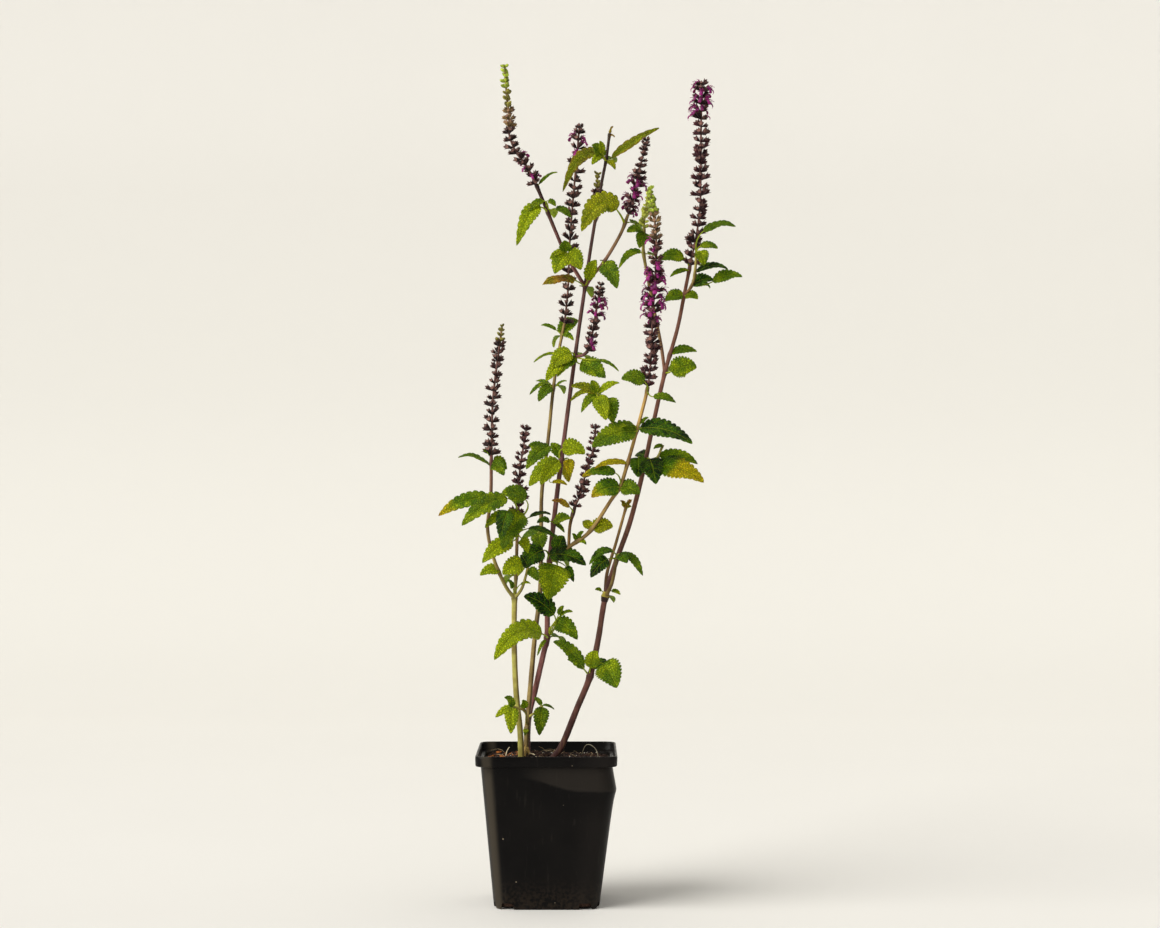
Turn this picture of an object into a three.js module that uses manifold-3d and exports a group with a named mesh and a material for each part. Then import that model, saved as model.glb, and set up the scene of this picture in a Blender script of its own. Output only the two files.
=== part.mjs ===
// Caucasian germander growing in a square nursery pot.
// Millimetres, +Z up. The origin is the middle of the pot's base, on the surface it stands on, and
// the front of the plant looks along -Y.

import * as THREE from 'three';
import { mergeVertices } from 'three/addons/utils/BufferGeometryUtils.js';
import Module from 'manifold-3d';

const wasm = await Module();
wasm.setup();

// Driving dimensions
const CLEARANCE = 0.3;
const POT = {
	height: 120, rimHalf: 55, rimBand: 8, rimDraft: 0.5, shoulderHalf: 51, baseHalf: 41,
	wall: 1.6, floor: 2, cornerRadius: 13, rimRadius: 14, cornerSteps: 2,
};
const BULGE = { reach: 5.6, height: 98, forward: 0.4 };
const DRAIN_SLOT = { width: 11, height: 5, depth: 8, fromMiddle: 30 };
const SOIL = { edgeHeight: 110, crown: 3, roughness: 2.2, rings: 3 };
const STEM_HOLE = { wider: 0.5, deeper: 0.4 };
const BLADE = {
	thickness: 0.7, fold: 0.24, notch: 0.8, arch: 0.1, toothLean: 0.25,
	baseFullness: 0.66, roundness: 0.8, broad: 15, slim: 8, leanedBack: 1.18,
};
const STALK = { short: 6, sunk: 0.8, halfWidth: 1 };
const LOOSE_SCRAP = 1;
const CALYX = {
	spacing: 10.4, band: 3, bandShare: 0.5, mouth: 4.6, mouthShare: 0.66, rise: 0.5,
	rachis: 1.4, seat: 0.9, ranks: 3,
};
const COROLLA = { neck: 1.9, neckWidth: 1.9, throat: 0.9 };

// Corolla rim around the neck: across, up and ahead. Every second point is a lobe, and the second
// one is the long lower lip.
const COROLLA_RIM = [
	[-1.2, -1.1, 0.3], [0, -5.7, 1.6], [1.2, -1.1, 0.3], [4.1, 0, 1],
	[1.2, 1.1, 0.3], [0, 2.1, 0.6], [-1.2, 1.1, 0.3], [-4.1, 0, 1],
];

// Places on the plant are noted as seen from the front: x and z in the plane through the pot's
// middle, y as a share of the depth. The eye stands this far off, level, at this x and z.
const EYE = { x: 26, z: 345, distance: 2000 };
const DEPTH = { stems: 2, leaves: 1.25 };

const UP = new THREE.Vector3(0, 0, 1);
const FRONT = new THREE.Vector3(0, -1, 0);
const STEEP = 0.8;
const WELD = 1e-4;

// Colours of the living plant and its pot
const finishes = {
	pot: { color: 0x211d1a, roughness: 0.42, metalness: 0 },
	soil: { color: 0x3a2519, roughness: 0.95, metalness: 0 },
	leaf: { color: 0x77901a, roughness: 0.6, metalness: 0 },
	deepLeaf: { color: 0x4c6b14, roughness: 0.6, metalness: 0 },
	fruit: { color: 0x4a3028, roughness: 0.8, metalness: 0 },
	bloom: { color: 0x97406f, roughness: 0.65, metalness: 0 },
	bud: { color: 0x7f8440, roughness: 0.7, metalness: 0 },
};

const group = new THREE.Group();

function addPiece(name, solid, finish) {
	const mesh = new THREE.Mesh(geometryOf(solid), new THREE.MeshStandardMaterial(finish));
	mesh.name = name;
	group.add(mesh);
}

// The real place of a point that is seen at x and z and lies at depth y.
function placeSeen(x, y, z) {
	const scale = 1 + y / EYE.distance;
	return new THREE.Vector3(EYE.x + (x - EYE.x) * scale, y, EYE.z + (z - EYE.z) * scale);
}

function stemPoint([x, y, z]) {
	return placeSeen(x, y * DEPTH.stems, z);
}

function meshOf(points, faces) {
	const geometry = new THREE.BufferGeometry();
	geometry.setFromPoints(points);
	geometry.setIndex(faces);
	return geometry;
}

function solidOf(geometry) {
	const bare = new THREE.BufferGeometry();
	bare.setAttribute('position', geometry.getAttribute('position'));
	bare.setIndex(geometry.getIndex());
	const merged = mergeVertices(bare, WELD);
	return new wasm.Manifold(new wasm.Mesh({
		numProp: 3,
		vertProperties: new Float32Array(merged.getAttribute('position').array),
		triVerts: new Uint32Array(merged.getIndex().array),
	}));
}

function geometryOf(solid) {
	const mesh = solid.getMesh();
	const geometry = new THREE.BufferGeometry();
	geometry.setAttribute('position', new THREE.BufferAttribute(new Float32Array(mesh.vertProperties), 3));
	geometry.setIndex(new THREE.BufferAttribute(new Uint32Array(mesh.triVerts), 1));
	return geometry;
}

// The same small random step for the same number, so every build is alike.
function scatter(seed) {
	const wave = Math.sin(seed * 127.1 + 11.7) * 43758.5453;
	return wave - Math.floor(wave) - 0.5;
}

// Skin over equal rings of points, each ring counter-clockwise seen from the last one.
function loft(rings) {
	const count = rings[0].length;
	const faces = [];
	for (let level = 0; level + 1 < rings.length; level += 1) {
		for (let k = 0; k < count; k += 1) {
			const a = level * count + k;
			const b = level * count + (k + 1) % count;
			faces.push(a, b, b + count, a, b + count, a + count);
		}
	}
	const top = (rings.length - 1) * count;
	for (let k = 1; k + 1 < count; k += 1) {
		faces.push(0, k + 1, k);
		faces.push(top, top + k, top + k + 1);
	}
	return meshOf(rings.flat(), faces);
}

// Two directions square to a tangent, for the section of a stem or stalk.
function crossFrame(tangent) {
	const guide = Math.abs(tangent.y) > STEEP ? UP : FRONT.clone().negate();
	const across = new THREE.Vector3().crossVectors(guide, tangent).normalize();
	const other = new THREE.Vector3().crossVectors(tangent, across).normalize();
	return [across, other];
}

function ringAt(centre, tangent, radius, sides, twist) {
	const [across, other] = crossFrame(tangent);
	const ring = [];
	for (let k = 0; k < sides; k += 1) {
		const angle = twist + (k * 2 * Math.PI) / sides;
		ring.push(centre.clone()
			.addScaledVector(across, radius * Math.cos(angle))
			.addScaledVector(other, radius * Math.sin(angle)));
	}
	return ring;
}

// A tapered square stem along a smooth curve. deeper pushes the first end further down.
function stemTube(route, startRadius, endRadius, deeper = 0) {
	const curve = new THREE.CatmullRomCurve3(route.map(stemPoint));
	const steps = route.length - 1;
	const rings = [];
	for (let i = 0; i <= steps; i += 1) {
		const share = i / steps;
		const tangent = curve.getTangent(share);
		const centre = curve.getPoint(share);
		if (i === 0) centre.addScaledVector(tangent, -deeper);
		const radius = startRadius + (endRadius - startRadius) * share;
		rings.push(ringAt(centre, tangent, radius, 4, Math.PI / 4));
	}
	return solidOf(loft(rings));
}

function teethFor(width) {
	if (width >= BLADE.broad) return 4;
	return width > BLADE.slim ? 2 : 1;
}

// Half the blade's width along the midrib: broad near the base, drawn out to the tip.
function bladeProfile(share) {
	return Math.sin(Math.PI * share ** BLADE.baseFullness) ** BLADE.roundness;
}

// Triangles between two rows of points that share their first and last point.
function zipFaces(rowA, sharesA, rowB, sharesB) {
	const faces = [];
	let a = 0;
	let b = 0;
	while (a + 1 < rowA.length || b + 1 < rowB.length) {
		const stepA = a + 1 < rowA.length && (b + 1 >= rowB.length || sharesA[a + 1] <= sharesB[b + 1]);
		const next = stepA ? rowA[a + 1] : rowB[b + 1];
		if (next !== rowA[a] && next !== rowB[b] && rowA[a] !== rowB[b]) {
			faces.push([rowA[a], next, rowB[b]]);
		}
		if (stepA) a += 1;
		else b += 1;
	}
	return faces;
}

// One toothed leaf on its stalk, folded a little along its midrib. A blade that starts close to the
// stem grows straight out of it. turn, in degrees, is how far the upper face looks from the sky
// towards the front.
function leafSolid(from, [bx, by, bz, tx, ty, tz, width, turn, arch = BLADE.arch]) {
	const root = stemPoint(from);
	const leafPoint = (x, y, z) => placeSeen(x, root.y + (y - from[1]) * DEPTH.leaves, z);
	const tip = leafPoint(tx, ty, tz);
	const base = leafPoint(bx, by, bz);
	const hasStalk = root.distanceTo(base) > STALK.short;
	const towards = (hasStalk ? base : tip).clone().sub(root).normalize();
	const start = root.clone().addScaledVector(towards, -STALK.sunk);
	if (!hasStalk) base.copy(start);
	const middle = base.clone().lerp(tip, 0.5).addScaledVector(UP, 2 * arch * base.distanceTo(tip));
	const rib = new THREE.QuadraticBezierCurve3(base, middle, tip);
	const lean = THREE.MathUtils.degToRad(turn);
	const face = UP.clone().multiplyScalar(Math.cos(lean)).addScaledVector(FRONT, Math.sin(lean));
	const points = [];
	const place = (centre, tangent, across) => {
		const normal = face.clone().addScaledVector(tangent, -face.dot(tangent)).normalize();
		const side = new THREE.Vector3().crossVectors(tangent, normal);
		const upper = centre.clone()
			.addScaledVector(side, across)
			.addScaledVector(normal, Math.abs(across) * BLADE.fold);
		points.push(upper, upper.clone().addScaledVector(normal, -BLADE.thickness));
		return points.length - 2;
	};
	const bend = rib.getTangent(0).add(towards).normalize();
	const placeOnRib = (share, across) => place(rib.getPoint(share),
		share === 0 && hasStalk ? bend : rib.getTangent(share), across);
	const teeth = teethFor(width);
	const ribSteps = teeth > 3 ? 3 : 2;
	const ribRow = [];
	const ribShares = [];
	if (hasStalk) {
		ribRow.push(place(start, towards, 0));
		ribShares.push(-1);
	}
	for (let i = 0; i <= ribSteps; i += 1) {
		ribShares.push(i / ribSteps);
		ribRow.push(placeOnRib(i / ribSteps, 0));
	}
	const faces = [];
	for (const hand of [1, -1]) {
		const edgeRow = [ribRow[0]];
		const edgeShares = [ribShares[0]];
		if (hasStalk) {
			edgeRow.push(placeOnRib(0, hand * STALK.halfWidth));
			edgeShares.push(0);
		}
		const stops = 2 * teeth + 1;
		for (let j = 1; j < stops; j += 1) {
			const isTooth = j % 2 === 1;
			const share = (j + (isTooth ? BLADE.toothLean : 0)) / stops;
			const full = (width / 2) * BLADE.leanedBack * bladeProfile(share);
			const half = isTooth ? full : full * BLADE.notch;
			edgeRow.push(placeOnRib(share, hand * half));
			edgeShares.push(share);
		}
		edgeRow.push(ribRow[ribRow.length - 1]);
		edgeShares.push(1);
		for (const [a, b, c] of zipFaces(edgeRow, edgeShares, ribRow, ribShares)) {
			if (hand === 1) faces.push(a, b, c, a + 1, c + 1, b + 1);
			else faces.push(a, c, b, a + 1, b + 1, c + 1);
		}
		for (let i = 0; i + 1 < edgeRow.length; i += 1) {
			const a = edgeRow[i];
			const b = edgeRow[i + 1];
			if (hand === 1) faces.push(a, a + 1, b + 1, a, b + 1, b);
			else faces.push(a, b + 1, a + 1, a, b, b + 1);
		}
	}
	return solidOf(meshOf(points, faces));
}

// The grown body alone, with any pinhole between crossing leaves filled.
function grownBody(solid) {
	const [body, ...scraps] = solid.decompose().sort((a, b) => b.volume() - a.volume());
	const loose = scraps.find((scrap) => scrap.volume() > LOOSE_SCRAP);
	if (loose) throw new Error(`A leaf hangs loose near ${loose.boundingBox().min}`);
	return body;
}

// A leafy stem: its woody lines and all its leaves as one grown body.
function leafyStem(lines, tufts) {
	let solid = stemTube(...lines[0]);
	for (const line of lines.slice(1)) solid = solid.add(stemTube(...line));
	for (const [from, leaves] of tufts) {
		for (const leaf of leaves) solid = solid.add(leafSolid(from, leaf));
	}
	return grownBody(solid);
}

// One zone of a flower spike, as a single skin: a three-sided rachis whose faces swell out at
// each whorl into cupped calyces, each whorl turned between the last, with lipped corollas.
function spikeZone(route, startShare, endShare, style) {
	const curve = new THREE.CatmullRomCurve3(route.map(stemPoint));
	const total = curve.getLength();
	const start = startShare * total + (startShare > 0 ? CLEARANCE : CALYX.seat);
	const span = endShare * total - start;
	const whorls = Math.max(1, Math.round(span / CALYX.spacing));
	const firstTurn = Math.round(start / CALYX.spacing);
	const points = [];
	const faces = [];
	const { ranks, rachis } = CALYX;
	const addRing = (along, level) => {
		const share = Math.min(1, along / total);
		const twist = ((firstTurn + level) * Math.PI) / ranks;
		points.push(...ringAt(curve.getPointAt(share), curve.getTangentAt(share), rachis, ranks, twist));
		return points.length - ranks;
	};
	const band = (low, high) => {
		for (let k = 0; k < ranks; k += 1) {
			const next = (k + 1) % ranks;
			faces.push(low + k, low + next, high + k, low + next, high + next, high + k);
		}
	};
	let last = addRing(start, 0);
	faces.push(last, last + 2, last + 1);
	for (let i = 0; i < whorls; i += 1) {
		const share = (i + 0.5) / whorls;
		const along = start + share * span;
		const reach = style.reach[0] + (style.reach[1] - style.reach[0]) * share;
		const halfBand = Math.min(CALYX.band, reach * CALYX.bandShare) / 2;
		const low = addRing(along - halfBand, i);
		const high = addRing(along + halfBand, i);
		band(last, low);
		for (let k = 0; k < ranks; k += 1) {
			const next = (k + 1) % ranks;
			const corners = [low + k, low + next, high + next, high + k];
			calyx(points, faces, corners, reach, style.corollas && (i + k) % style.corollas !== 0);
		}
		last = high;
	}
	if (style.tip) {
		const share = Math.min(1, (start + span) / total);
		points.push(curve.getPointAt(share));
		for (let k = 0; k < ranks; k += 1) faces.push(last + k, last + (k + 1) % ranks, points.length - 1);
	} else {
		const end = addRing(start + span, whorls);
		band(last, end);
		faces.push(end, end + 1, end + 2);
	}
	return solidOf(meshOf(points, faces));
}

// Pushes one face of the rachis out into a calyx, and its mouth into a corolla when it is open.
function calyx(points, faces, corners, reach, isOpen) {
	const [a, b, c, d] = corners.map((index) => points[index]);
	const centre = a.clone().add(b).add(c).add(d).multiplyScalar(0.25);
	const side = b.clone().sub(a).normalize();
	const along = d.clone().sub(a).normalize();
	const out = new THREE.Vector3().crossVectors(side, along);
	const axis = out.clone().multiplyScalar(Math.cos(CALYX.rise))
		.addScaledVector(along, Math.sin(CALYX.rise));
	const tall = new THREE.Vector3().crossVectors(axis, side);
	const half = Math.min(CALYX.mouth, reach * CALYX.mouthShare) / 2;
	const square = (middle, size) => [[-1, -1], [1, -1], [1, 1], [-1, 1]].map(([s, t]) => middle.clone()
		.addScaledVector(side, s * size)
		.addScaledVector(tall, t * size));
	const wall = (from, to) => {
		for (let e = 0; e < 4; e += 1) {
			const f = (e + 1) % 4;
			faces.push(from[e], from[f], to[f], from[e], to[f], to[e]);
		}
	};
	const addSquare = (middle, size) => {
		points.push(...square(middle, size));
		return [4, 3, 2, 1].map((back) => points.length - back);
	};
	const mouthCentre = centre.clone().addScaledVector(axis, reach - CALYX.rachis);
	const mouth = addSquare(mouthCentre, half);
	wall(corners, mouth);
	if (!isOpen) {
		faces.push(mouth[0], mouth[1], mouth[2], mouth[0], mouth[2], mouth[3]);
		return;
	}
	const neckCentre = mouthCentre.clone().addScaledVector(axis, COROLLA.neck);
	const neck = addSquare(neckCentre, COROLLA.neckWidth / 2);
	wall(mouth, neck);
	const rim = COROLLA_RIM.map(([across, high, ahead]) => {
		points.push(neckCentre.clone()
			.addScaledVector(side, across)
			.addScaledVector(tall, high)
			.addScaledVector(axis, ahead));
		return points.length - 1;
	});
	points.push(neckCentre.clone().addScaledVector(axis, COROLLA.throat));
	const throat = points.length - 1;
	for (let e = 0; e < 4; e += 1) {
		const f = (e + 1) % 4;
		const near = rim[2 * e];
		const lobe = rim[2 * e + 1];
		const far = rim[(2 * e + 2) % 8];
		faces.push(neck[e], neck[f], lobe, neck[e], lobe, near, neck[f], far, lobe);
		faces.push(near, lobe, throat, lobe, far, throat);
	}
}

// A square outline with round corners, at one height.
function potRing(half, height, radius, bulge = 0) {
	const ring = [];
	const flat = half - radius;
	for (let corner = 0; corner < 4; corner += 1) {
		const middle = Math.PI / 4 + (corner * Math.PI) / 2;
		for (let step = 0; step <= POT.cornerSteps; step += 1) {
			const angle = middle - Math.PI / 4 + (step * Math.PI) / 2 / POT.cornerSteps;
			const x = Math.sign(Math.cos(middle)) * flat + radius * Math.cos(angle);
			const y = Math.sign(Math.sin(middle)) * flat + radius * Math.sin(angle);
			const share = x > 0 && y < 0 ? bulge / Math.hypot(x, y) : 0;
			ring.push(new THREE.Vector3(x * (1 + share), y * (1 + share * BULGE.forward), height));
		}
	}
	return ring;
}

function bodyHalf(height) {
	const top = POT.height - POT.rimBand;
	return POT.baseHalf + ((POT.shoulderHalf - POT.baseHalf) * height) / top;
}

// How far the corner is pressed out: in a straight line from the base up to the crease, then back
// to nothing at the shoulder.
function bulgeAt(height) {
	if (height <= BULGE.height) return (BULGE.reach * height) / BULGE.height;
	const shoulder = POT.height - POT.rimBand;
	return (BULGE.reach * (shoulder - height)) / (shoulder - BULGE.height);
}

// The soft square pot: a tapered thin body, pressed out at its front right corner, an upright rim
// band on a small shoulder, and drain slots along the foot.
function potSolid() {
	const shoulder = POT.height - POT.rimBand;
	const radius = POT.cornerRadius;
	const innerRadius = radius - POT.wall;
	const innerRimRadius = POT.rimRadius - POT.wall;
	const outer = [0, BULGE.height, shoulder].map(
		(height) => potRing(bodyHalf(height), height, radius, bulgeAt(height)));
	const inner = [shoulder, BULGE.height, POT.floor].map(
		(height) => potRing(bodyHalf(height) - POT.wall, height, innerRadius, bulgeAt(height)));
	const rim = [
		potRing(POT.rimHalf - POT.rimDraft, shoulder, POT.rimRadius),
		potRing(POT.rimHalf, POT.height, POT.rimRadius),
		potRing(POT.rimHalf - POT.wall, POT.height, innerRimRadius),
		potRing(POT.rimHalf - POT.wall - POT.rimDraft, shoulder + POT.wall, innerRimRadius),
		potRing(POT.shoulderHalf - POT.wall, shoulder + POT.wall, innerRadius),
	];
	let pot = solidOf(loft([...outer, ...rim, ...inner]));
	for (let side = 0; side < 4; side += 1) {
		for (const hand of [-1, 1]) {
			const slot = new THREE.BoxGeometry(DRAIN_SLOT.width, DRAIN_SLOT.depth, 2 * DRAIN_SLOT.height);
			slot.translate(hand * DRAIN_SLOT.fromMiddle, -POT.baseHalf, 0);
			slot.rotateZ((side * Math.PI) / 2);
			pot = pot.subtract(solidOf(slot));
		}
	}
	return pot;
}

// Peat that fills the pot, a little heaped at the crown, with a plain hole for each main stem.
function soilSolid(mainStems) {
	const half = (height) => bodyHalf(height) - POT.wall - CLEARANCE;
	const radius = POT.cornerRadius - POT.wall - CLEARANCE;
	const low = POT.floor + CLEARANCE;
	const rings = [
		potRing(half(low), low, radius),
		potRing(half(SOIL.edgeHeight), SOIL.edgeHeight, radius),
	];
	for (let i = 1; i <= SOIL.rings; i += 1) {
		const share = 1 - i / (SOIL.rings + 1);
		const height = SOIL.edgeHeight + SOIL.crown * (1 - share);
		const ring = potRing(half(SOIL.edgeHeight) * share, height, radius * share);
		ring.forEach((place, k) => {
			place.z += SOIL.roughness * scatter(i * 31 + k);
		});
		rings.push(ring);
	}
	let soil = solidOf(loft(rings));
	for (const [route, startRadius, endRadius] of mainStems) {
		const { wider, deeper } = STEM_HOLE;
		soil = soil.subtract(stemTube(route, startRadius + wider, endRadius + wider, deeper));
	}
	return soil;
}

// Woody lines: route, first radius, last radius
const leftMain = [
	[[-20.5, -6, 92], [-21, -7, 130], [-24.5, -9, 166], [-26, -12, 205], [-25.7, -14, 239]], 2.6, 2.3];
const leftOuter = [
	[[-25.7, -14, 239], [-33, -15, 249], [-42, -17, 270], [-47, -18, 294], [-44.5, -18, 318],
		[-44, -18, 352]], 1.6, 1.4];
const leftInner = [
	[[-25.7, -14, 239], [-24.5, -14, 257], [-23.7, -14, 285], [-23, -14, 305]], 1.6, 1.4];
const leftTwig = [[[-25.7, -14, 239], [-19.8, -16, 247], [-15, -17, 263]], 1.3, 1];
const secondMain = [
	[[-17, -1, 92], [-16, 0, 131], [-13.4, 3, 166], [-9.5, 7, 210], [-5.5, 10, 245], [-4.7, 13, 293],
		[-4, 14, 324], [0.8, 15, 364], [5, 16, 405], [9.5, 16, 435], [13.8, 16, 456]], 2.3, 1.2];
const basalRight = [[[-15, 1, 145], [-9, -1, 149], [-4, -2, 154]], 1.1, 1];
const basalLeft = [[[-16, 0, 140], [-17.5, -13, 150], [-27, -15, 153]], 1.1, 1];
const tallMain = [
	[[-15.5, 6.5, 92], [-15, 7.5, 140], [-9.5, 7, 166], [-2.4, 5, 197], [0, 3, 208], [0.8, 0, 253],
		[6.3, -2, 308], [13.4, -3, 364], [22, -3, 429], [30, -2, 485], [35.5, 0, 522], [43.5, 1, 569],
		[46.6, 1, 585], [49.4, 1, 606]], 2.7, 1.2];
const tallLeft = [
	[[30, -2, 485], [22, -5, 498], [14, -7, 512], [7, -8, 528], [0.8, -8, 543], [-8.7, -8, 566]], 1.5, 1.4];
const tallRight = [
	[[30, -2, 485], [37, -3, 495], [45, -4, 504.6], [57.7, -5, 526], [64, -5, 542]], 1.5, 1.4];
const lowTwig = [[[22, -3, 429.5], [28.4, -5, 431], [32, -6, 434]], 1.3, 1.4];
const smallTwig = [[[38, 0.5, 536], [40, 6, 541], [40.3, 10, 549]], 1.2, 1.4];
const bloomBranch = [
	[[1.6, -0.5, 267.6], [18, -5, 280], [34, -7, 292], [50.6, -9, 316.6], [57.7, -10, 327],
		[64, -11, 347], [71, -12, 372], [77.4, -15, 396], [79.6, -16, 406]], 1.7, 1.4];
const sideShoot = [[[71, -12, 372], [55, -13, 373], [49, -12, 384], [39.5, -12, 400]], 1.2, 1];
const shortTwig = [[[17, -4.6, 279.5], [18.2, -5, 297], [22, -5, 311]], 1.2, 1.4];
const rightMain = [
	[[-6, -3, 92], [4.7, -4, 112.7], [11.9, -4, 123], [23.7, -4, 152], [34, -4, 177.5], [40.3, -4, 206],
		[45.8, -3, 239], [54.5, -2, 268], [64, 0, 294.4], [70.3, 1, 316.6], [77.4, 2, 346],
		[83.7, 3, 376], [93, 3, 417], [102.7, 3, 451], [108.2, 3, 478], [113, 3, 502]], 3, 1.5];
const snappedTwig = [[[45.8, -3, 239], [47.4, 4, 259], [54.5, 6, 283], [62.4, 7, 311]], 1.6, 1.2];
const whorlTwig = [[[45.8, -3, 239], [51.5, -8, 252], [55.3, -10, 272]], 1.5, 1.2];
const youngBranch = [
	[[93, 3, 417], [90, 7, 439], [86, 9, 459], [81.4, 10, 482.5], [76.5, 11, 509], [76, 11, 518],
		[76.6, 11, 532]], 1.4, 1.3];
const rightTwig = [[[108.2, 3, 478], [113.8, 0, 485], [116.5, -3, 494], [118, -4, 511]], 1.2, 1];
const paleTwig = [[[77.4, 2, 346], [86, -2, 349], [91.6, -3, 360]], 1, 0.9];

// Leaves: where they leave the stem, then each leaf's blade start, blade tip, width and turn
const leftTufts = [
	[[-44, -18, 346], [
		[-46, -19, 342, -70, -28, 352, 7, 30],
		[-42, -20, 345, -34, -27, 337, 10, 75],
		[-40, -17, 350, -31, -12, 341, 9, 60],
	]],
	[[-44.5, -18, 318], [
		[-43, -21, 316, -86, -30, 305.5, 12, 62],
	]],
	[[-23.3, -14, 300], [
		[-17, -22, 317, -35, -27, 323, 13, 72],
		[-31.5, -24, 318, -67.5, -36, 297.5, 14, 62],
		[-31, -27, 308, -37, -37, 286, 12, 72],
		[-19, -18, 306, -36, -30, 279, 17, 66],
		[-33, -17, 306, -49, -24, 295, 8, 60],
		[-14, -15, 303, 3, -17, 306, 5, 30],
		[-27, -9, 304, -38, 4, 296, 10, 30],
	]],
	[[-23.8, -14, 290], [
		[-15, -16, 294, 8, -18, 287, 6, 35],
		[-20, -17, 286, -15, -22, 275, 8, 75],
		[-27, -20, 284, -51.5, -27, 267.5, 13, 62],
	]],
	[[-38, -16, 260], [
		[-37, -17, 263, -53, -22, 258, 9, 58],
	]],
	[[-24.6, -14, 256], [
		[-19, -20, 266, -35, -25, 258, 14, 68],
		[-27, -10, 258, -34, 4, 250, 9, 25],
	]],
	[[-25.7, -14, 240], [
		[-27, -17, 247, -31, -22, 253, 5, 50],
	]],
	[[-15, -17, 262], [
		[-14, -17, 264, -21, -20, 273, 7, 60],
		[-14, -17, 262, -7, -20, 253, 8, 60],
	]],
];
const secondTufts = [
	[[-27, -15, 153], [
		[-28.5, -16, 152, -28.5, -21, 132, 10, 80],
		[-29, -15, 152, -41, -14, 145, 6, 55],
		[-26, -16, 154, -33, -20, 161, 7, 50],
	]],
	[[-17.5, -13, 150], [
		[-17.5, -13, 154, -19, -17, 158, 6, 60],
	]],
	[[-4, -2, 154], [
		[-3, -3, 152, -6.3, -9, 131, 11, 80],
	]],
	[[-4.7, 12.8, 290], [
		[-7, 7, 290, -5, 2, 277, 12, 80],
		[-1, 17, 291, 8, 29, 284, 10, 30],
	]],
	[[0, 15, 356], [
		[2, 10, 359, -17, 3, 342, 12, 55],
		[-5, 13, 357, -15, 9, 359, 8, 60],
		[-3, 19, 355, -12, 31, 346, 12, 20],
	]],
	[[5, 16, 405], [
		[1, 13, 407, -7, 7, 395, 9, 60],
		[8, 20, 407, 14, 31, 401, 8, 20],
	]],
	[[11.9, 16, 447], [
		[8, 17, 450, 25, 22, 459.5, 11, 60],
		[14, 13, 448, 21, 9, 443, 5, 60],
	]],
];
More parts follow.
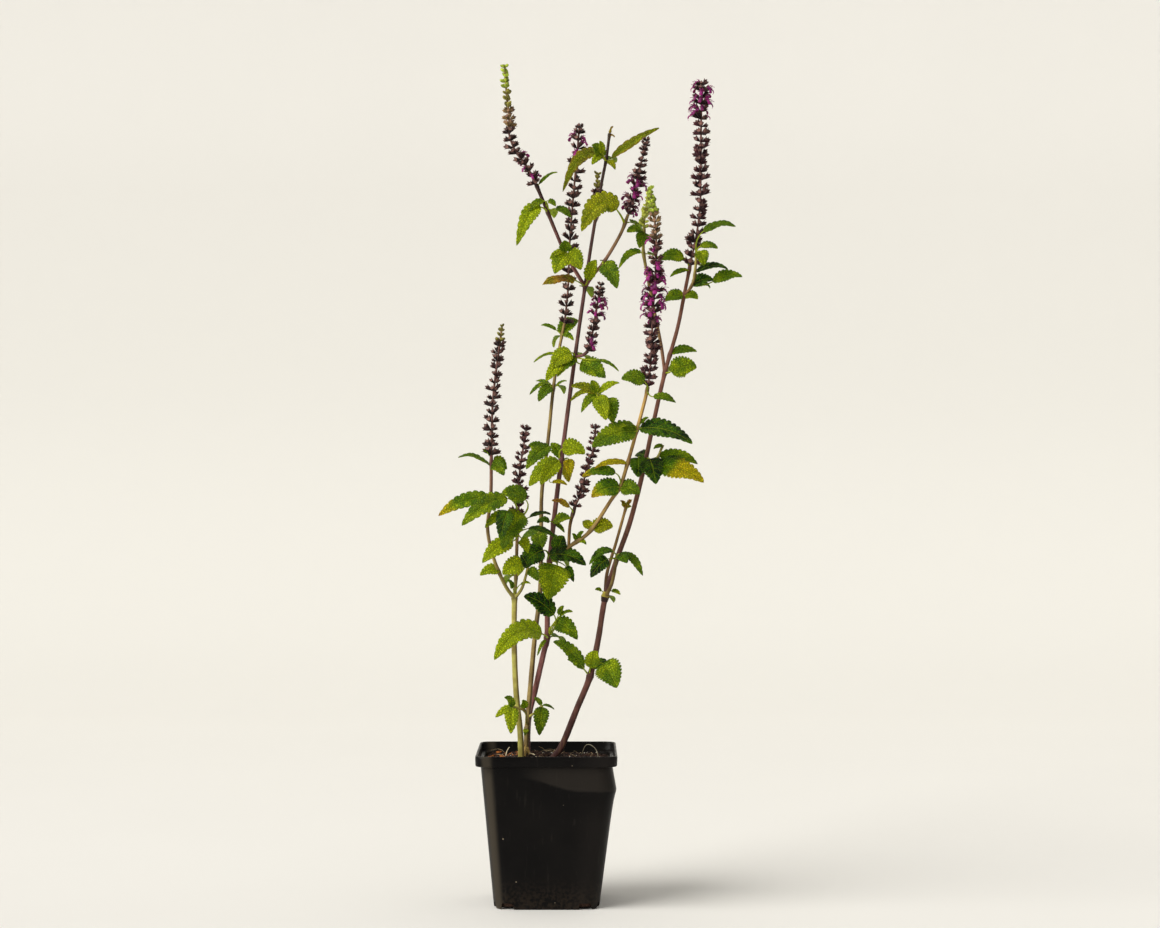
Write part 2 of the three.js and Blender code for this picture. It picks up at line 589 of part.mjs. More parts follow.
const tallTufts = [
	[[0, 3, 208], [
		[-4, -12, 211, -42, -46, 193, 17, 62, 0.16],
		[6, -2, 218.5, 24, -10, 207, 13, 62, 0.16],
		[5.5, -5, 226, -18, -10, 241, 14, 62],
		[5, 8, 209, 15, 20, 203, 10, 25],
	]],
	[[1.6, -0.5, 269], [
		[-3, -6, 277, -20, -12, 264, 16, 62],
		[2, -6, 273, 31, -14, 266.5, 13, 56],
		[8, -8, 265, 1, -18, 238.5, 23, 74],
		[15, -6, 264, 21, -10, 252, 6, 60],
		[8, -5, 276, 13, -8, 288, 12, 60],
		[5, 4, 270, 18, 18, 264, 12, 25],
	]],
	[[5.5, -1.5, 299], [
		[4, -6, 299, 18.5, -11, 302, 9, 52],
		[2, -7, 300, -8, -12, 299, 6, 50],
	]],
	[[11, -2.8, 347], [
		[8, -6, 348, -5, -10, 329, 12, 66],
		[7, -1, 346, -15, 2, 328, 14, 62],
		[12, -6, 357, 30, -10, 354, 14, 60],
		[17, -3, 349, 18, -7, 335, 8, 70],
		[12, 1, 344, 18, 8, 330, 9, 55],
	]],
	[[22, -3, 429.5], [
		[19, -7, 433, 3, -14, 421, 14, 62],
		[13, -10, 425, -1, -17, 411, 10, 66],
		[23, -7, 428, 8, -16, 415, 9, 60],
		[26, -7, 424, 46, -14, 413, 15, 62],
		[25, 0, 431, 34, 10, 427, 11, 25],
	]],
	[[30, -2, 485], [
		[22, -9, 490, -4, -14, 488, 9, 45],
		[32, -5, 490, 38.5, -9, 506, 9, 66],
		[27, 2, 485, 36, 14, 477, 10, 25],
	]],
	[[14.2, -7, 512], [
		[16, -10, 510, 6, -15, 496, 14, 70],
		[18, -10, 511, 27, -14, 499, 14, 70],
		[15, -10, 513, 14, -13, 521, 9, 70],
		[12, -9, 515, 2, -13, 507, 5, 50],
	]],
	[[0.8, -8, 543], [
		[-5, -11, 548, -24, -17, 518, 12, 62, 0.22],
		[-3, -10, 553, -15, -14, 545, 6, 55],
		[1, -10, 553, 7, -12, 549, 5, 55],
		[7, -8, 547, 20, -7, 540, 7, 50],
	]],
	[[45, -4, 504.6], [
		[44.5, -10, 503, 55.5, -20, 485, 13, 72],
	]],
	[[61, -5, 535], [
		[55, -11, 544, 31, -17, 528, 15, 58, 0.3],
		[66, -2, 536, 76, 6, 530, 9, 35],
	]],
	[[46.6, 1, 585], [
		[43, -1, 588, 11, -5, 561, 12, 52, 0.32],
		[44, -4, 587, 36, -10, 597, 10, 62],
		[51, 4, 587, 88, 7, 612, 8, 45, 0.02],
		[48, 5, 587, 55, 16, 584, 8, 25],
	]],
	[[35, -7, 293], [
		[34, -5, 295, 28, -3, 300, 7, 60],
		[37, -6, 295, 52, -8, 296, 12, 66],
	]],
	[[20.5, -5, 306], [
		[18, -9, 311, 4, -12, 317, 5, 50],
	]],
	[[57.7, -10, 327], [
		[56, -14, 326, 35, -20, 320, 15, 62],
		[59, -13, 325, 73, -17, 322, 13, 60],
		[54, -14, 338, 27, -16, 336, 8, 62],
		[57, -4, 327, 50, 7, 321, 10, 25],
	]],
	[[63.5, -11, 345], [
		[62, -13, 346, 37, -16, 342, 6, 45],
	]],
	[[71, -12, 372], [
		[70, -16, 369, 35.5, -22, 359, 17, 66],
		[75, -15, 374, 115, -22, 362, 16, 50],
		[68, -15, 376, 57, -19, 374, 5, 50],
	]],
	[[40, -12, 399], [
		[39, -14, 398, 27, -20, 386, 7, 55, 0.2],
		[40, -17, 398, 46.5, -23, 380, 12, 72],
		[48, -14, 397, 52, -19, 377.5, 13, 74],
		[36, -14, 402, 18, -16, 395, 5, 45, 0.2],
		[36, -11, 403, 19, -12, 407, 8, 50],
		[42, -13, 404, 57, -14, 410, 6, 50],
		[38.5, -13, 402, 35, -15, 411, 7, 62],
	]],
	[[79, -16, 403], [
		[84, -19, 398, 102, -21, 394, 7, 50],
		[77, -20, 410, 59, -24, 413, 12, 62],
	]],
];
const rightTufts = [
	[[34, -4, 177.5], [
		[28.4, -7, 184, 6.3, -14, 206, 11, 52],
		[29, -2, 183, 16, 4, 191, 6, 25],
		[44, -8, 187.5, 55, -15, 168.5, 19, 72],
		[36, -1, 183, 47, 6, 191, 9, 40],
		[34, -7, 184, 39, -11, 197, 11, 78],
	]],
	[[46, -3, 240], [
		[47, 2, 241, 53, 13, 236, 8, 30],
	]],
	[[55.3, -10, 270], [
		[52, -12, 276, 33, -17, 266, 7, 40, 0.2],
		[48, -13, 270, 34.5, -20, 256, 11, 66],
		[57, -14, 274, 63, -19, 267, 9, 55],
		[62, -11, 274, 76, -13, 257, 7, 45, 0.14],
	]],
	[[77.4, 2, 346], [
		[79, 7, 351, 69, 16, 352, 9, 50],
		[72, -3, 350, 72, -9, 335, 14, 76],
		[81, -6, 349, 86, -15, 329.5, 16, 70],
		[89, -4, 351, 119.5, -7, 346.5, 10, 54],
		[86, -7, 342, 124, -17, 332, 17, 62],
		[80, 8, 346, 92, 20, 340, 13, 25],
	]],
	[[93, 3, 417], [
		[98, -1, 418, 118, -5, 421.5, 16, 68],
		[97, 7, 419, 109, 17, 414, 11, 25],
	]],
	[[97, 3, 431], [
		[99, 2, 434, 118.5, 1, 434.5, 8, 48],
	]],
	[[108.2, 3, 478], [
		[106, 1, 479, 93, -3, 474, 10, 60],
		[111, -1, 478, 119, -6, 476, 8, 60],
		[106, 8, 479, 99, 19, 475, 10, 25],
	]],
	[[114, 0, 486], [
		[116, -3, 487.5, 131, -6, 491, 11, 55],
		[131, -4, 489, 154, -9, 494, 10, 55],
		[117, 3, 489, 130, 11, 485, 10, 40],
	]],
	[[116.5, -3, 495], [
		[119, -4, 499, 143, -10, 501, 8, 40],
	]],
	[[117.7, -4, 510], [
		[121, -5, 517, 135, -7, 516, 7, 50],
		[121, -8, 513, 124, -12, 502, 10, 70],
		[123.5, -3, 529, 149, -7, 534.5, 8, 45],
	]],
	[[112.2, 3, 498], [
		[108, 1, 508, 89.5, -5, 507, 11, 60],
		[110, 0, 498, 97, -3, 493, 5, 45],
	]],
	[[76.3, 11, 511], [
		[72, 11, 513, 56, 9, 500, 7, 45, 0.22],
	]],
	[[76.5, 11, 528], [
		[74, 9, 531, 63, 5, 529, 8, 60],
		[78, 9, 527, 73, 5, 516, 10, 66],
	]],
];

addPiece('nursery_pot', potSolid(), finishes.pot);
addPiece('potting_soil', soilSolid([leftMain, secondMain, tallMain, rightMain]), finishes.soil);
addPiece('left_leafy_stem', leafyStem([leftMain, leftOuter, leftInner, leftTwig], leftTufts),
	finishes.leaf);
addPiece('second_leafy_stem', leafyStem([secondMain, basalRight, basalLeft], secondTufts),
	finishes.deepLeaf);
addPiece('tall_leafy_stem', leafyStem([
	tallMain, tallLeft, tallRight, lowTwig, smallTwig, bloomBranch, sideShoot, shortTwig,
], tallTufts), finishes.leaf);
addPiece('right_leafy_stem', leafyStem([
	rightMain, snappedTwig, whorlTwig, youngBranch, rightTwig, paleTwig,
], rightTufts), finishes.deepLeaf);

// Flower spikes: name, rachis route, then each zone's kind, first and last share of the length,
// and how far its calyces reach at both ends
const spikes = [
	['left_outer_spike', [[-44, -18, 352], [-43.5, -18, 380], [-42, -17, 404], [-38, -16, 435],
		[-35.5, -16, 454]], [['fruit', 0, 0.8, 6, 5], ['buds', 0.8, 1, 4, 2.4]]],
	['left_inner_spike', [[-23, -14, 305], [-22.2, -14, 314], [-22.4, -14, 329], [-20.8, -14, 345],
		[-16.6, -14, 371]], [['fruit', 0, 1, 6.4, 5]]],
	['second_spike', [[13.8, 16, 456], [16.6, 16, 484], [17.6, 17, 515], [20.5, 18, 554],
		[23.7, 18, 589], [26, 18, 617]],
	[['fruit', 0, 0.8, 6, 6.2], ['blooms', 0.8, 0.94, 5, 4.6], ['buds', 0.94, 1, 3.6, 3]]],
	['tall_left_spike', [[-8.7, -8, 566], [-16, -9, 580], [-25, -9, 592], [-30, -9, 606],
		[-30, -9, 620], [-31.6, -9, 633], [-33.6, -9, 661]],
	[['blooms', 0, 0.26, 5, 5], ['fruit', 0.26, 0.62, 6.2, 5], ['buds', 0.62, 1, 4.6, 2.6]]],
	['tall_right_spike', [[64, -5, 542], [68, -5, 556], [72.7, -5, 576], [79, -5, 602]],
		[['blooms', 0, 0.48, 5.4, 5.4], ['buds', 0.48, 1, 5, 3]]],
	['low_spike', [[32, -6, 434], [35.5, -7, 447], [39.5, -7, 470], [42.7, -7, 487]],
		[['blooms', 0, 0.74, 5, 4.6], ['buds', 0.74, 1, 4, 3]]],
	['small_spike', [[40.3, 10, 549], [39.8, 10, 561], [39.8, 10, 576]], [['buds', 0, 1, 5, 3]]],
	['bloom_spike', [[79.6, -16, 406], [82, -16, 427], [83, -16, 451], [84.5, -16, 478.5],
		[86, -16, 505], [86, -16, 526], [83.7, -16, 547], [81.4, -16, 564]],
	[['fruit', 0, 0.37, 6.6, 6.6], ['blooms', 0.37, 0.64, 6, 5.6], ['upper', 0.64, 0.84, 6, 5],
		['buds', 0.84, 1, 4.2, 2.4]]],
	['short_spike', [[22, -5, 311], [27.6, -5, 324.5], [30.8, -5, 340], [36.3, -5, 356],
		[38.7, -5, 376]], [['fruit', 0, 1, 6, 3.4]]],
	['right_spike', [[113, 3, 502], [118.5, 3, 529], [120.9, 3, 550], [121.3, 3, 575], [121.7, 3, 617],
		[122.5, 3, 644]], [['fruit', 0, 0.8, 6.6, 6.8], ['blooms', 0.8, 1, 5, 4]]],
	['young_spike', [[76.6, 11, 532], [77.4, 11, 542], [80.6, 11, 559]], [['buds', 0, 1, 4.6, 2.6]]],
];
const zoneLooks = {
	fruit: { finish: finishes.fruit, corollas: 0 },
	upper: { finish: finishes.fruit, corollas: 0 },
	blooms: { finish: finishes.bloom, corollas: 5 },
	buds: { finish: finishes.bud, corollas: 0 },
};
for (const [name, route, zones] of spikes) {
	for (const [kind, from, to, lowReach, highReach] of zones) {
		const look = zoneLooks[kind];
		const style = { reach: [lowReach, highReach], corollas: look.corollas, tip: to === 1 };
		addPiece(`${name}_${kind}`, spikeZone(route, from, to, style), look.finish);
	}
}

export default group;
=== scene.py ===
# %% [markdown]
# # A germander in its nursery pot
# The real object is a garden perennial, about two feet tall, growing in a square black pot. The
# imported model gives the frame: every leaf, spike and wall has a place in metres there, so each
# piece made here only has to keep to it. Loading the frame first also tells how big the plant may be.

# %% Load the frame
import math
import random

import bpy
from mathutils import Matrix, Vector, noise


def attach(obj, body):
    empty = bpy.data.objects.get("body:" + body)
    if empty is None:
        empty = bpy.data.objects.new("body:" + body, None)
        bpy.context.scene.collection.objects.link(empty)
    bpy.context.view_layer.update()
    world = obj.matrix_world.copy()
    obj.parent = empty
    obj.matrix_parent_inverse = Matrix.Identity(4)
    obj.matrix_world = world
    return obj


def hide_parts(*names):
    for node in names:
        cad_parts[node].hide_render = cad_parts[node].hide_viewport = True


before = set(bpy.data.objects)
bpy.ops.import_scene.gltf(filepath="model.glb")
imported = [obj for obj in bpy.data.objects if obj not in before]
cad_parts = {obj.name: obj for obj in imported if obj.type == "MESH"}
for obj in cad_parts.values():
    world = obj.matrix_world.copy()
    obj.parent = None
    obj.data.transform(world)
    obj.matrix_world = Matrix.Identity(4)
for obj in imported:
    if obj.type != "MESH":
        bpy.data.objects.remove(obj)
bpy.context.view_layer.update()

# Measures are in millimetres all through, and MM turns them into the frame's metres.
MM = 0.001
print("nodes in the frame:", len(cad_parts))

# %% [markdown]
# ## The camera
# The photograph was taken from about two metres, level, a little above the middle of the plant. A
# long lens keeps upright things upright. The camera comes first, so that every later piece can be
# judged in the same frame.

# %% Camera
EYE_X, EYE_Z, EYE_AWAY = 26, 345, 2000
FOCAL_LENGTH, SENSOR_WIDTH = 78.6, 36


def link(thing):
    bpy.context.scene.collection.objects.link(thing)
    return thing


lens = bpy.data.cameras.new("photo_lens")
lens.lens = FOCAL_LENGTH
lens.sensor_width = SENSOR_WIDTH
camera = link(bpy.data.objects.new("photo_camera", lens))
camera.location = (EYE_X * MM, -EYE_AWAY * MM, EYE_Z * MM)
camera.rotation_euler = (math.pi / 2, 0, 0)
bpy.context.scene.camera = camera
bpy.context.scene.view_settings.view_transform = "Standard"
print("camera at", tuple(round(v, 3) for v in camera.location))

# %% [markdown]
# ## Light and floor
# Soft studio light: a very wide softbox far off on the left is the key, pale air all round fills the
# shade, and a weak lamp behind shines through the leaves. Far lamps light the floor and the backdrop
# alike, and the pale floor sweeps up into the backdrop, so there is no horizon line. The sweep faces
# the key more squarely than the floor does, so its paper is a little darker there.

# %% Softboxes and world
AIR_COLOUR, AIR_STRENGTH = (1, 0.985, 0.955, 1), 0.42


def srgb(red, green, blue):
    """The scene-linear colour for 0 to 255 screen values."""
    def linear(value):
        value /= 255
        return value / 12.92 if value <= 0.04045 else ((value + 0.055) / 1.055) ** 2.4
    return (linear(red), linear(green), linear(blue), 1.0)


def soft_lamp(name, towards, angle, strength, colour):
    """A wide softbox so far off that it lights the floor, the backdrop and the plant alike."""
    light = bpy.data.lights.new(name, "SUN")
    light.angle = math.radians(angle)
    light.energy = strength
    light.color = colour
    lamp = link(bpy.data.objects.new(name, light))
    lamp.rotation_euler = (-Vector(towards)).to_track_quat("-Z", "Y").to_euler()


soft_lamp("key_left", (-0.72, -0.44, 0.54), 52, 3.4, (1, 0.985, 0.95))
soft_lamp("rim_behind", (0.3, 0.7, 0.64), 20, 0.6, (1, 0.99, 0.96))
world = bpy.data.worlds.new("studio_air")
world.use_nodes = True
air = world.node_tree.nodes["Background"].inputs
air["Color"].default_value = AIR_COLOUR
air["Strength"].default_value = AIR_STRENGTH
bpy.context.scene.world = world

# %% [markdown]
# ## Helpers for nodes
# Materials and growing rules are both trees of nodes. Trees made by hand in the editor can't be kept
# in a script, so small helpers add a node, fill its inputs with values or with another node's
# output, and hand back its result. A tree then reads from top to bottom, like a sum.

# %% Node helpers
def put(tree, kind, inputs=(), **settings):
    """Adds a node, sets it up, and fills its inputs with values or with other nodes' outputs."""
    node = tree.nodes.new(kind)
    for name, value in settings.items():
        setattr(node, name, value)
    for key, value in dict(inputs).items():
        if isinstance(value, bpy.types.NodeSocket):
            tree.links.new(value, node.inputs[key])
        else:
            node.inputs[key].default_value = value
    return node


def feed(tree, source, socket):
    tree.links.new(source, socket)


def calc(tree, operation, first, second=0.0, third=0.0):
    return put(tree, "ShaderNodeMath", {0: first, 1: second, 2: third}, operation=operation).outputs[0]


def times(tree, first, *others):
    """The product of two or more values."""
    for other in others:
        first = calc(tree, "MULTIPLY", first, other)
    return first


def blend(tree, share, low, high, mode="MIX"):
    return put(tree, "ShaderNodeMix", {0: share, 6: low, 7: high},
               data_type="RGBA", blend_type=mode).outputs[2]


def ramp(tree, value, start, end, low=0.0, high=1.0):
    """Maps start..end onto low..high, and holds it there beyond them."""
    return put(tree, "ShaderNodeMapRange",
               {"Value": value, "From Min": start, "From Max": end, 3: low, 4: high},
               interpolation_type="SMOOTHSTEP").outputs[0]


def split(tree, vector):
    """The X, Y and Z of a vector."""
    return put(tree, "ShaderNodeSeparateXYZ", {0: vector}).outputs


def object_place(tree):
    return put(tree, "ShaderNodeTexCoord").outputs["Object"]


# %% Group and material helpers
def shader_group(name, inputs, output, kind):
    """An empty shader node group with named inputs and one output, whose sockets it also returns."""
    group = bpy.data.node_groups.new(name, "ShaderNodeTree")
    for label, value in inputs.items():
        socket = group.interface.new_socket(name=label, in_out="INPUT", socket_type="NodeSocketFloat")
        socket.default_value = value
    group.interface.new_socket(name=output, in_out="OUTPUT", socket_type=kind)
    result = group.nodes.new("NodeGroupOutput").inputs[output]
    return group, group.nodes.new("NodeGroupInput").outputs, result


def use_group(tree, group, **values):
    node = tree.nodes.new("ShaderNodeGroup")
    node.node_tree = group
    for label, value in values.items():
        node.inputs[label].default_value = value
    return node.outputs[0]


def new_material(name, **constants):
    """A material with its Principled BSDF; constants go on the shader's own sockets."""
    material = bpy.data.materials.new(name)
    material.use_nodes = True
    shader = material.node_tree.nodes["Principled BSDF"]
    for label, value in constants.items():
        shader.inputs[label.replace("_", " ")].default_value = value
    return material, material.node_tree, shader.inputs


# %% [markdown]
# ## Shared surface effects
# Peat, stems, leaves and plastic all change a little in tone from place to place, and most have a
# fine relief. Both effects are node groups, built once and placed in each material with its own
# scale. They read Object coordinates, so they stay put when the camera moves.

# %% Mottle and relief groups
mottle, given, result = shader_group("mottle", {"Scale": 60.0, "Sharpness": 0.2}, "Mask", "NodeSocketFloat")
cloud = put(mottle, "ShaderNodeTexNoise",
            {"Vector": object_place(mottle), "Scale": given["Scale"], "Detail": 4.0})
low_edge = calc(mottle, "SUBTRACT", 0.5, given["Sharpness"])
high_edge = calc(mottle, "ADD", 0.5, given["Sharpness"])
feed(mottle, ramp(mottle, cloud.outputs["Fac"], low_edge, high_edge), result)

relief, given, result = shader_group(
    "fine_relief", {"Scale": 900.0, "Depth": 0.0002, "Strength": 0.4}, "Normal", "NodeSocketVector")
grain = put(relief, "ShaderNodeTexNoise",
            {"Vector": object_place(relief), "Scale": given["Scale"], "Detail": 3.0})
bump = put(relief, "ShaderNodeBump", {"Strength": given["Strength"], "Distance": given["Depth"],
                                      "Height": grain.outputs["Fac"]})
feed(relief, bump.outputs["Normal"], result)
print("shader groups:", [g.name for g in bpy.data.node_groups])


def mottled(tree, scale, sharpness):
    return use_group(tree, mottle, Scale=scale, Sharpness=sharpness)


def roughen(tree, shader, scale, depth, strength):
    """Gives a material the fine relief."""
    feed(tree, use_group(tree, relief, Scale=scale, Depth=depth, Strength=strength), shader["Normal"])


# %% Floor sweep
FLOOR_FRONT, SWEEP_START, SWEEP_RADIUS, SWEEP_TOP, SWEEP_STEPS = -3.0, 1.4, 0.8, 4.0, 16
FLOOR_SIDE = 4.0
floor_profile = [(FLOOR_FRONT, 0.0)]
for k in range(SWEEP_STEPS + 1):
    climb = math.pi / 2 * k / SWEEP_STEPS
    floor_profile.append((SWEEP_START + SWEEP_RADIUS * math.sin(climb),
                          SWEEP_RADIUS * (1 - math.cos(climb))))
floor_profile.append((SWEEP_START + SWEEP_RADIUS, SWEEP_TOP))
sweep_mesh = bpy.data.meshes.new("floor_sweep")
sweep_mesh.from_pydata([(x, y, z) for y, z in floor_profile for x in (-FLOOR_SIDE, FLOOR_SIDE)], [],
                       [(2 * k, 2 * k + 1, 2 * k + 3, 2 * k + 2) for k in range(len(floor_profile) - 1)])
sweep_mesh.shade_smooth()
floor = link(bpy.data.objects.new("floor_sweep", sweep_mesh))

paper, tree, shader = new_material("pale_paper", Roughness=0.9, Specular_IOR_Level=0.1)
at = split(tree, object_place(tree))
# Painted shade: the paper darkens from the middle of the floor back into the sweep, fading out by a metre
# up, where the key, the open air and the light bounced off the backdrop fall more strongly.
nearing = calc(tree, "ADD", ramp(tree, at["Y"], 0.1, SWEEP_START, 0.0, 0.5),
               ramp(tree, at["Y"], SWEEP_START - 0.1, SWEEP_START + 0.3, 0.0, 0.5))
in_curve = times(tree, nearing, ramp(tree, at["Z"], 1.0, 0.4))
pale = blend(tree, mottled(tree, 3.0, 0.4), srgb(232, 230, 225), srgb(234, 232, 227))
feed(tree, blend(tree, in_curve, pale, srgb(219, 217, 211)), shader["Base Color"])
sweep_mesh.materials.append(paper)
print("floor sweep:", len(sweep_mesh.polygons), "faces")

# %% [markdown]
# ## Making a finished piece
# A finished piece is a plain mesh at the origin. It rides on the root body, stands for one or more
# of the frame's nodes, and takes the material it is given. Pieces that repeat or follow a path are
# grown by a Geometry Nodes tree on a guide mesh, and the evaluated result is kept as the mesh.

# %% Mesh helpers
def finish_piece(name, mesh, nodes, material=None):
    """Puts a mesh on the root body in place of the frame's nodes, with the material given, if any."""
    if material:
        mesh.materials.clear()
        mesh.materials.append(material)
    piece = link(bpy.data.objects.new(name, mesh))
    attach(piece, "root")
    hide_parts(*nodes)
    print(f"{name}: {len(mesh.polygons)} faces")


def plain_mesh(name, points, faces, smooth=True):
    mesh = bpy.data.meshes.new(name)
    mesh.from_pydata(points, [], faces)
    if smooth:
        mesh.shade_smooth()
    return mesh


def pattern_object(name, points, faces, smooth=False):
    """A small shape that a tree repeats; it is no piece of the plant by itself."""
    return bpy.data.objects.new(name, plain_mesh(name, points, faces, smooth))


def ring_faces(rings, count, cap=True):
    """Quads over equal rings laid one after another, with both ends closed."""
    faces = []
    for level in range(rings - 1):
        for k in range(count):
            a, b = level * count + k, level * count + (k + 1) % count
            faces.append((a, b, b + count, a + count))
    if cap:
        faces.append(tuple(reversed(range(count))))
        faces.append(tuple(range((rings - 1) * count, rings * count)))
    return faces


# %% Geometry Nodes helpers
def geometry_tree(name, sockets):
    """A Geometry Nodes tree with a geometry in and out and the named inputs."""
    tree = bpy.data.node_groups.new(name, "GeometryNodeTree")
    tree.interface.new_socket(name="Geometry", in_out="OUTPUT", socket_type="NodeSocketGeometry")
    tree.interface.new_socket(name="Geometry", in_out="INPUT", socket_type="NodeSocketGeometry")
    for label, kind in sockets.items():
        tree.interface.new_socket(name=label, in_out="INPUT", socket_type="NodeSocket" + kind)
    return tree, tree.nodes.new("NodeGroupInput").outputs


def end_tree(tree, geometry, finish):
    """Ends a tree: instances become real mesh, which the export needs, and take their material."""
    real = put(tree, "GeometryNodeRealizeInstances", {"Geometry": geometry})
    done = put(tree, "GeometryNodeSetMaterial", {"Geometry": real.outputs[0], "Material": finish})
    feed(tree, done.outputs[0], tree.nodes.new("NodeGroupOutput").inputs["Geometry"])


def grow(guide, tree, values):
    """Runs a tree on a guide mesh and returns the result as a plain mesh."""
    host = link(bpy.data.objects.new("guide", guide))
    modifier = host.modifiers.new("grow", "NODES")
    modifier.node_group = tree
    for item in tree.interface.items_tree:
        if item.in_out == "INPUT" and item.name in values:
            modifier[item.identifier] = values[item.name]
    ready = host.evaluated_get(bpy.context.evaluated_depsgraph_get())
    mesh = bpy.data.meshes.new_from_object(ready)
    host.modifiers.clear()
    bpy.data.objects.remove(host)
    return mesh


# %% [markdown]
# ## The pot
# A standard square nursery pot: a thin tapered wall with soft corners, a rim with a turned-down
# skirt, and drain slots along its foot. Its front is pressed out of shape near the right corner, and
# the crease runs across the front. Rings of a rounded square, laid one over another, give the whole
# wall as one closed skin, and the dent is a push that depends on the place. A Boolean cuts the slots.

# %% Pot measures
POT_HEIGHT, RIM_BAND, POT_WALL, POT_FLOOR = 120, 8, 1.6, 2
BASE_HALF, SHOULDER_HALF, SHOULDER = 41, 51, POT_HEIGHT - RIM_BAND
CORNER, RIM_CORNER = 13, 8
CORNER_STEPS, SIDE_STEPS = 10, 10
CREASE_LEFT, CREASE_RIGHT, CREASE_LOW, CREASE_RISE = -18, 26, 93, 9.5
DENT_RIGHT, DENT_AHEAD = 5.2, 4.0


def body_half(height):
    return BASE_HALF + (SHOULDER_HALF - BASE_HALF) * height / SHOULDER


def ease(value, start, end):
    share = min(1.0, max(0.0, (value - start) / (end - start)))
    return share * share * (3 - 2 * share)


def dent(x, y, height):
    """How far right and forward the wall stands out here: most at the front right corner, along a
    crease that falls from the rim towards the right."""
    crease = CREASE_LOW + CREASE_RISE * ease(-x, -CREASE_RIGHT, -CREASE_LEFT)
    if height > crease:
        swell = (SHOULDER - height) / (SHOULDER - crease)
    else:
        swell = 0.72 * height / crease + 0.28 * math.exp(-(crease - height) / 7)
    rightwards = ease(x, 0, 44) * (1 - ease(y, -44, 40))
    forwards = ease(x, -24, 44) * (1 - ease(y, -48, -20))
    return DENT_RIGHT * swell * rightwards, DENT_AHEAD * swell * forwards


def rounded_square(half, height, radius, push=0.0):
    ring = []
    flat = half - radius
    for corner in range(4):
        middle = math.pi / 4 + corner * math.pi / 2
        cx, cy = math.copysign(flat, math.cos(middle)), math.copysign(flat, math.sin(middle))
        for step in range(CORNER_STEPS + 1):
            angle = middle - math.pi / 4 + step * math.pi / 2 / CORNER_STEPS
            ring.append((cx + radius * math.cos(angle), cy + radius * math.sin(angle)))
        turn = middle + math.pi / 4
        nx, ny = math.cos(turn), math.sin(turn)
        for step in range(1, SIDE_STEPS):
            back = flat * (1 - 2 * step / SIDE_STEPS)
            ring.append((nx * half + ny * back, ny * half - nx * back))
    points = []
    for x, y in ring:
        right, ahead = dent(x, y, height)
        points.append(((x + push * right) * MM, (y - push * ahead) * MM, height * MM))
    return points


print("half width of the pot: foot", body_half(0), "shoulder", body_half(SHOULDER))

# %% Pot wall
# Each ring is its half width, its height and its share of the dent. They run from under the foot up
# the outside, over the shoulder and the rim, and down the inside to the floor.
foot = body_half(0)
pot_rings = [(foot - 1.6, 0.9, 0), (foot - 1.3, 0.0, 0), (foot - 0.4, 0.1, 0), (foot, 0.8, 0)]
pot_rings += [(body_half(z), z, 1) for z in range(2, SHOULDER, 2)]
pot_rings += [(51.0, 111.4, 1), (51.3, 111.9, 0.6), (54.0, 111.8, 0), (54.5, 112.1, 0), (54.7, 113, 0),
              (54.95, 118.6, 0), (54.8, 119.5, 0), (54.3, 120, 0), (53.7, 120, 0), (53.3, 119.6, 0),
              (53.1, 118.4, 0), (52.8, 114.2, 0), (52.4, 113.6, 0), (50.2, 113.5, 0.4), (49.5, 112.8, 1)]
pot_rings += [(body_half(z) - POT_WALL, z, 1) for z in range(SHOULDER - 1, 1, -3)]
wall_points = []
for half, z, push in pot_rings:
    in_rim = z > SHOULDER - 0.5 and half > 50
    wall_points += rounded_square(half, z, RIM_CORNER if in_rim else CORNER, push)
per_ring = len(wall_points) // len(pot_rings)
pot_mesh = plain_mesh("nursery_pot_wall", wall_points, ring_faces(len(pot_rings), per_ring))

# %% Drain slots
SLOT_PLACE, SLOT_HALF, SLOT_REACH, SLOT_FOOT, SLOT_TOP, SLOT_TAPER = 30, 5.5, 6, -4, 5, 0.8
slot_points, slot_faces = [], []
for side in range(4):
    for hand in (-1, 1):
        for dx in (-SLOT_HALF, SLOT_HALF):
            for dy in (-SLOT_REACH, SLOT_REACH):
                for z, wide in ((SLOT_FOOT, 1), (SLOT_TOP, SLOT_TAPER)):
                    x, y = hand * SLOT_PLACE + dx * wide, dy - BASE_HALF
                    for _ in range(side):
                        x, y = -y, x
                    slot_points.append((x * MM, y * MM, z * MM))
        b = len(slot_points) - 8
        slot_faces += [(b, b + 1, b + 3, b + 2), (b + 4, b + 6, b + 7, b + 5), (b, b + 4, b + 5, b + 1),
                       (b + 2, b + 3, b + 7, b + 6), (b, b + 2, b + 6, b + 4), (b + 1, b + 5, b + 7, b + 3)]
cutter = link(bpy.data.objects.new("drain_slots", plain_mesh("drain_slots", slot_points, slot_faces)))
rough_pot = link(bpy.data.objects.new("rough_pot", pot_mesh))
cut = rough_pot.modifiers.new("slots", "BOOLEAN")
cut.object = cutter
cut.operation = "DIFFERENCE"
cut.solver = "EXACT"
pot_cut = bpy.data.meshes.new_from_object(rough_pot.evaluated_get(bpy.context.evaluated_depsgraph_get()))
for spare in (rough_pot, cutter):
    bpy.data.objects.remove(spare)
pot_cut.set_sharp_from_angle(angle=math.radians(42))
print("pot wall:", len(pot_cut.polygons), "faces")
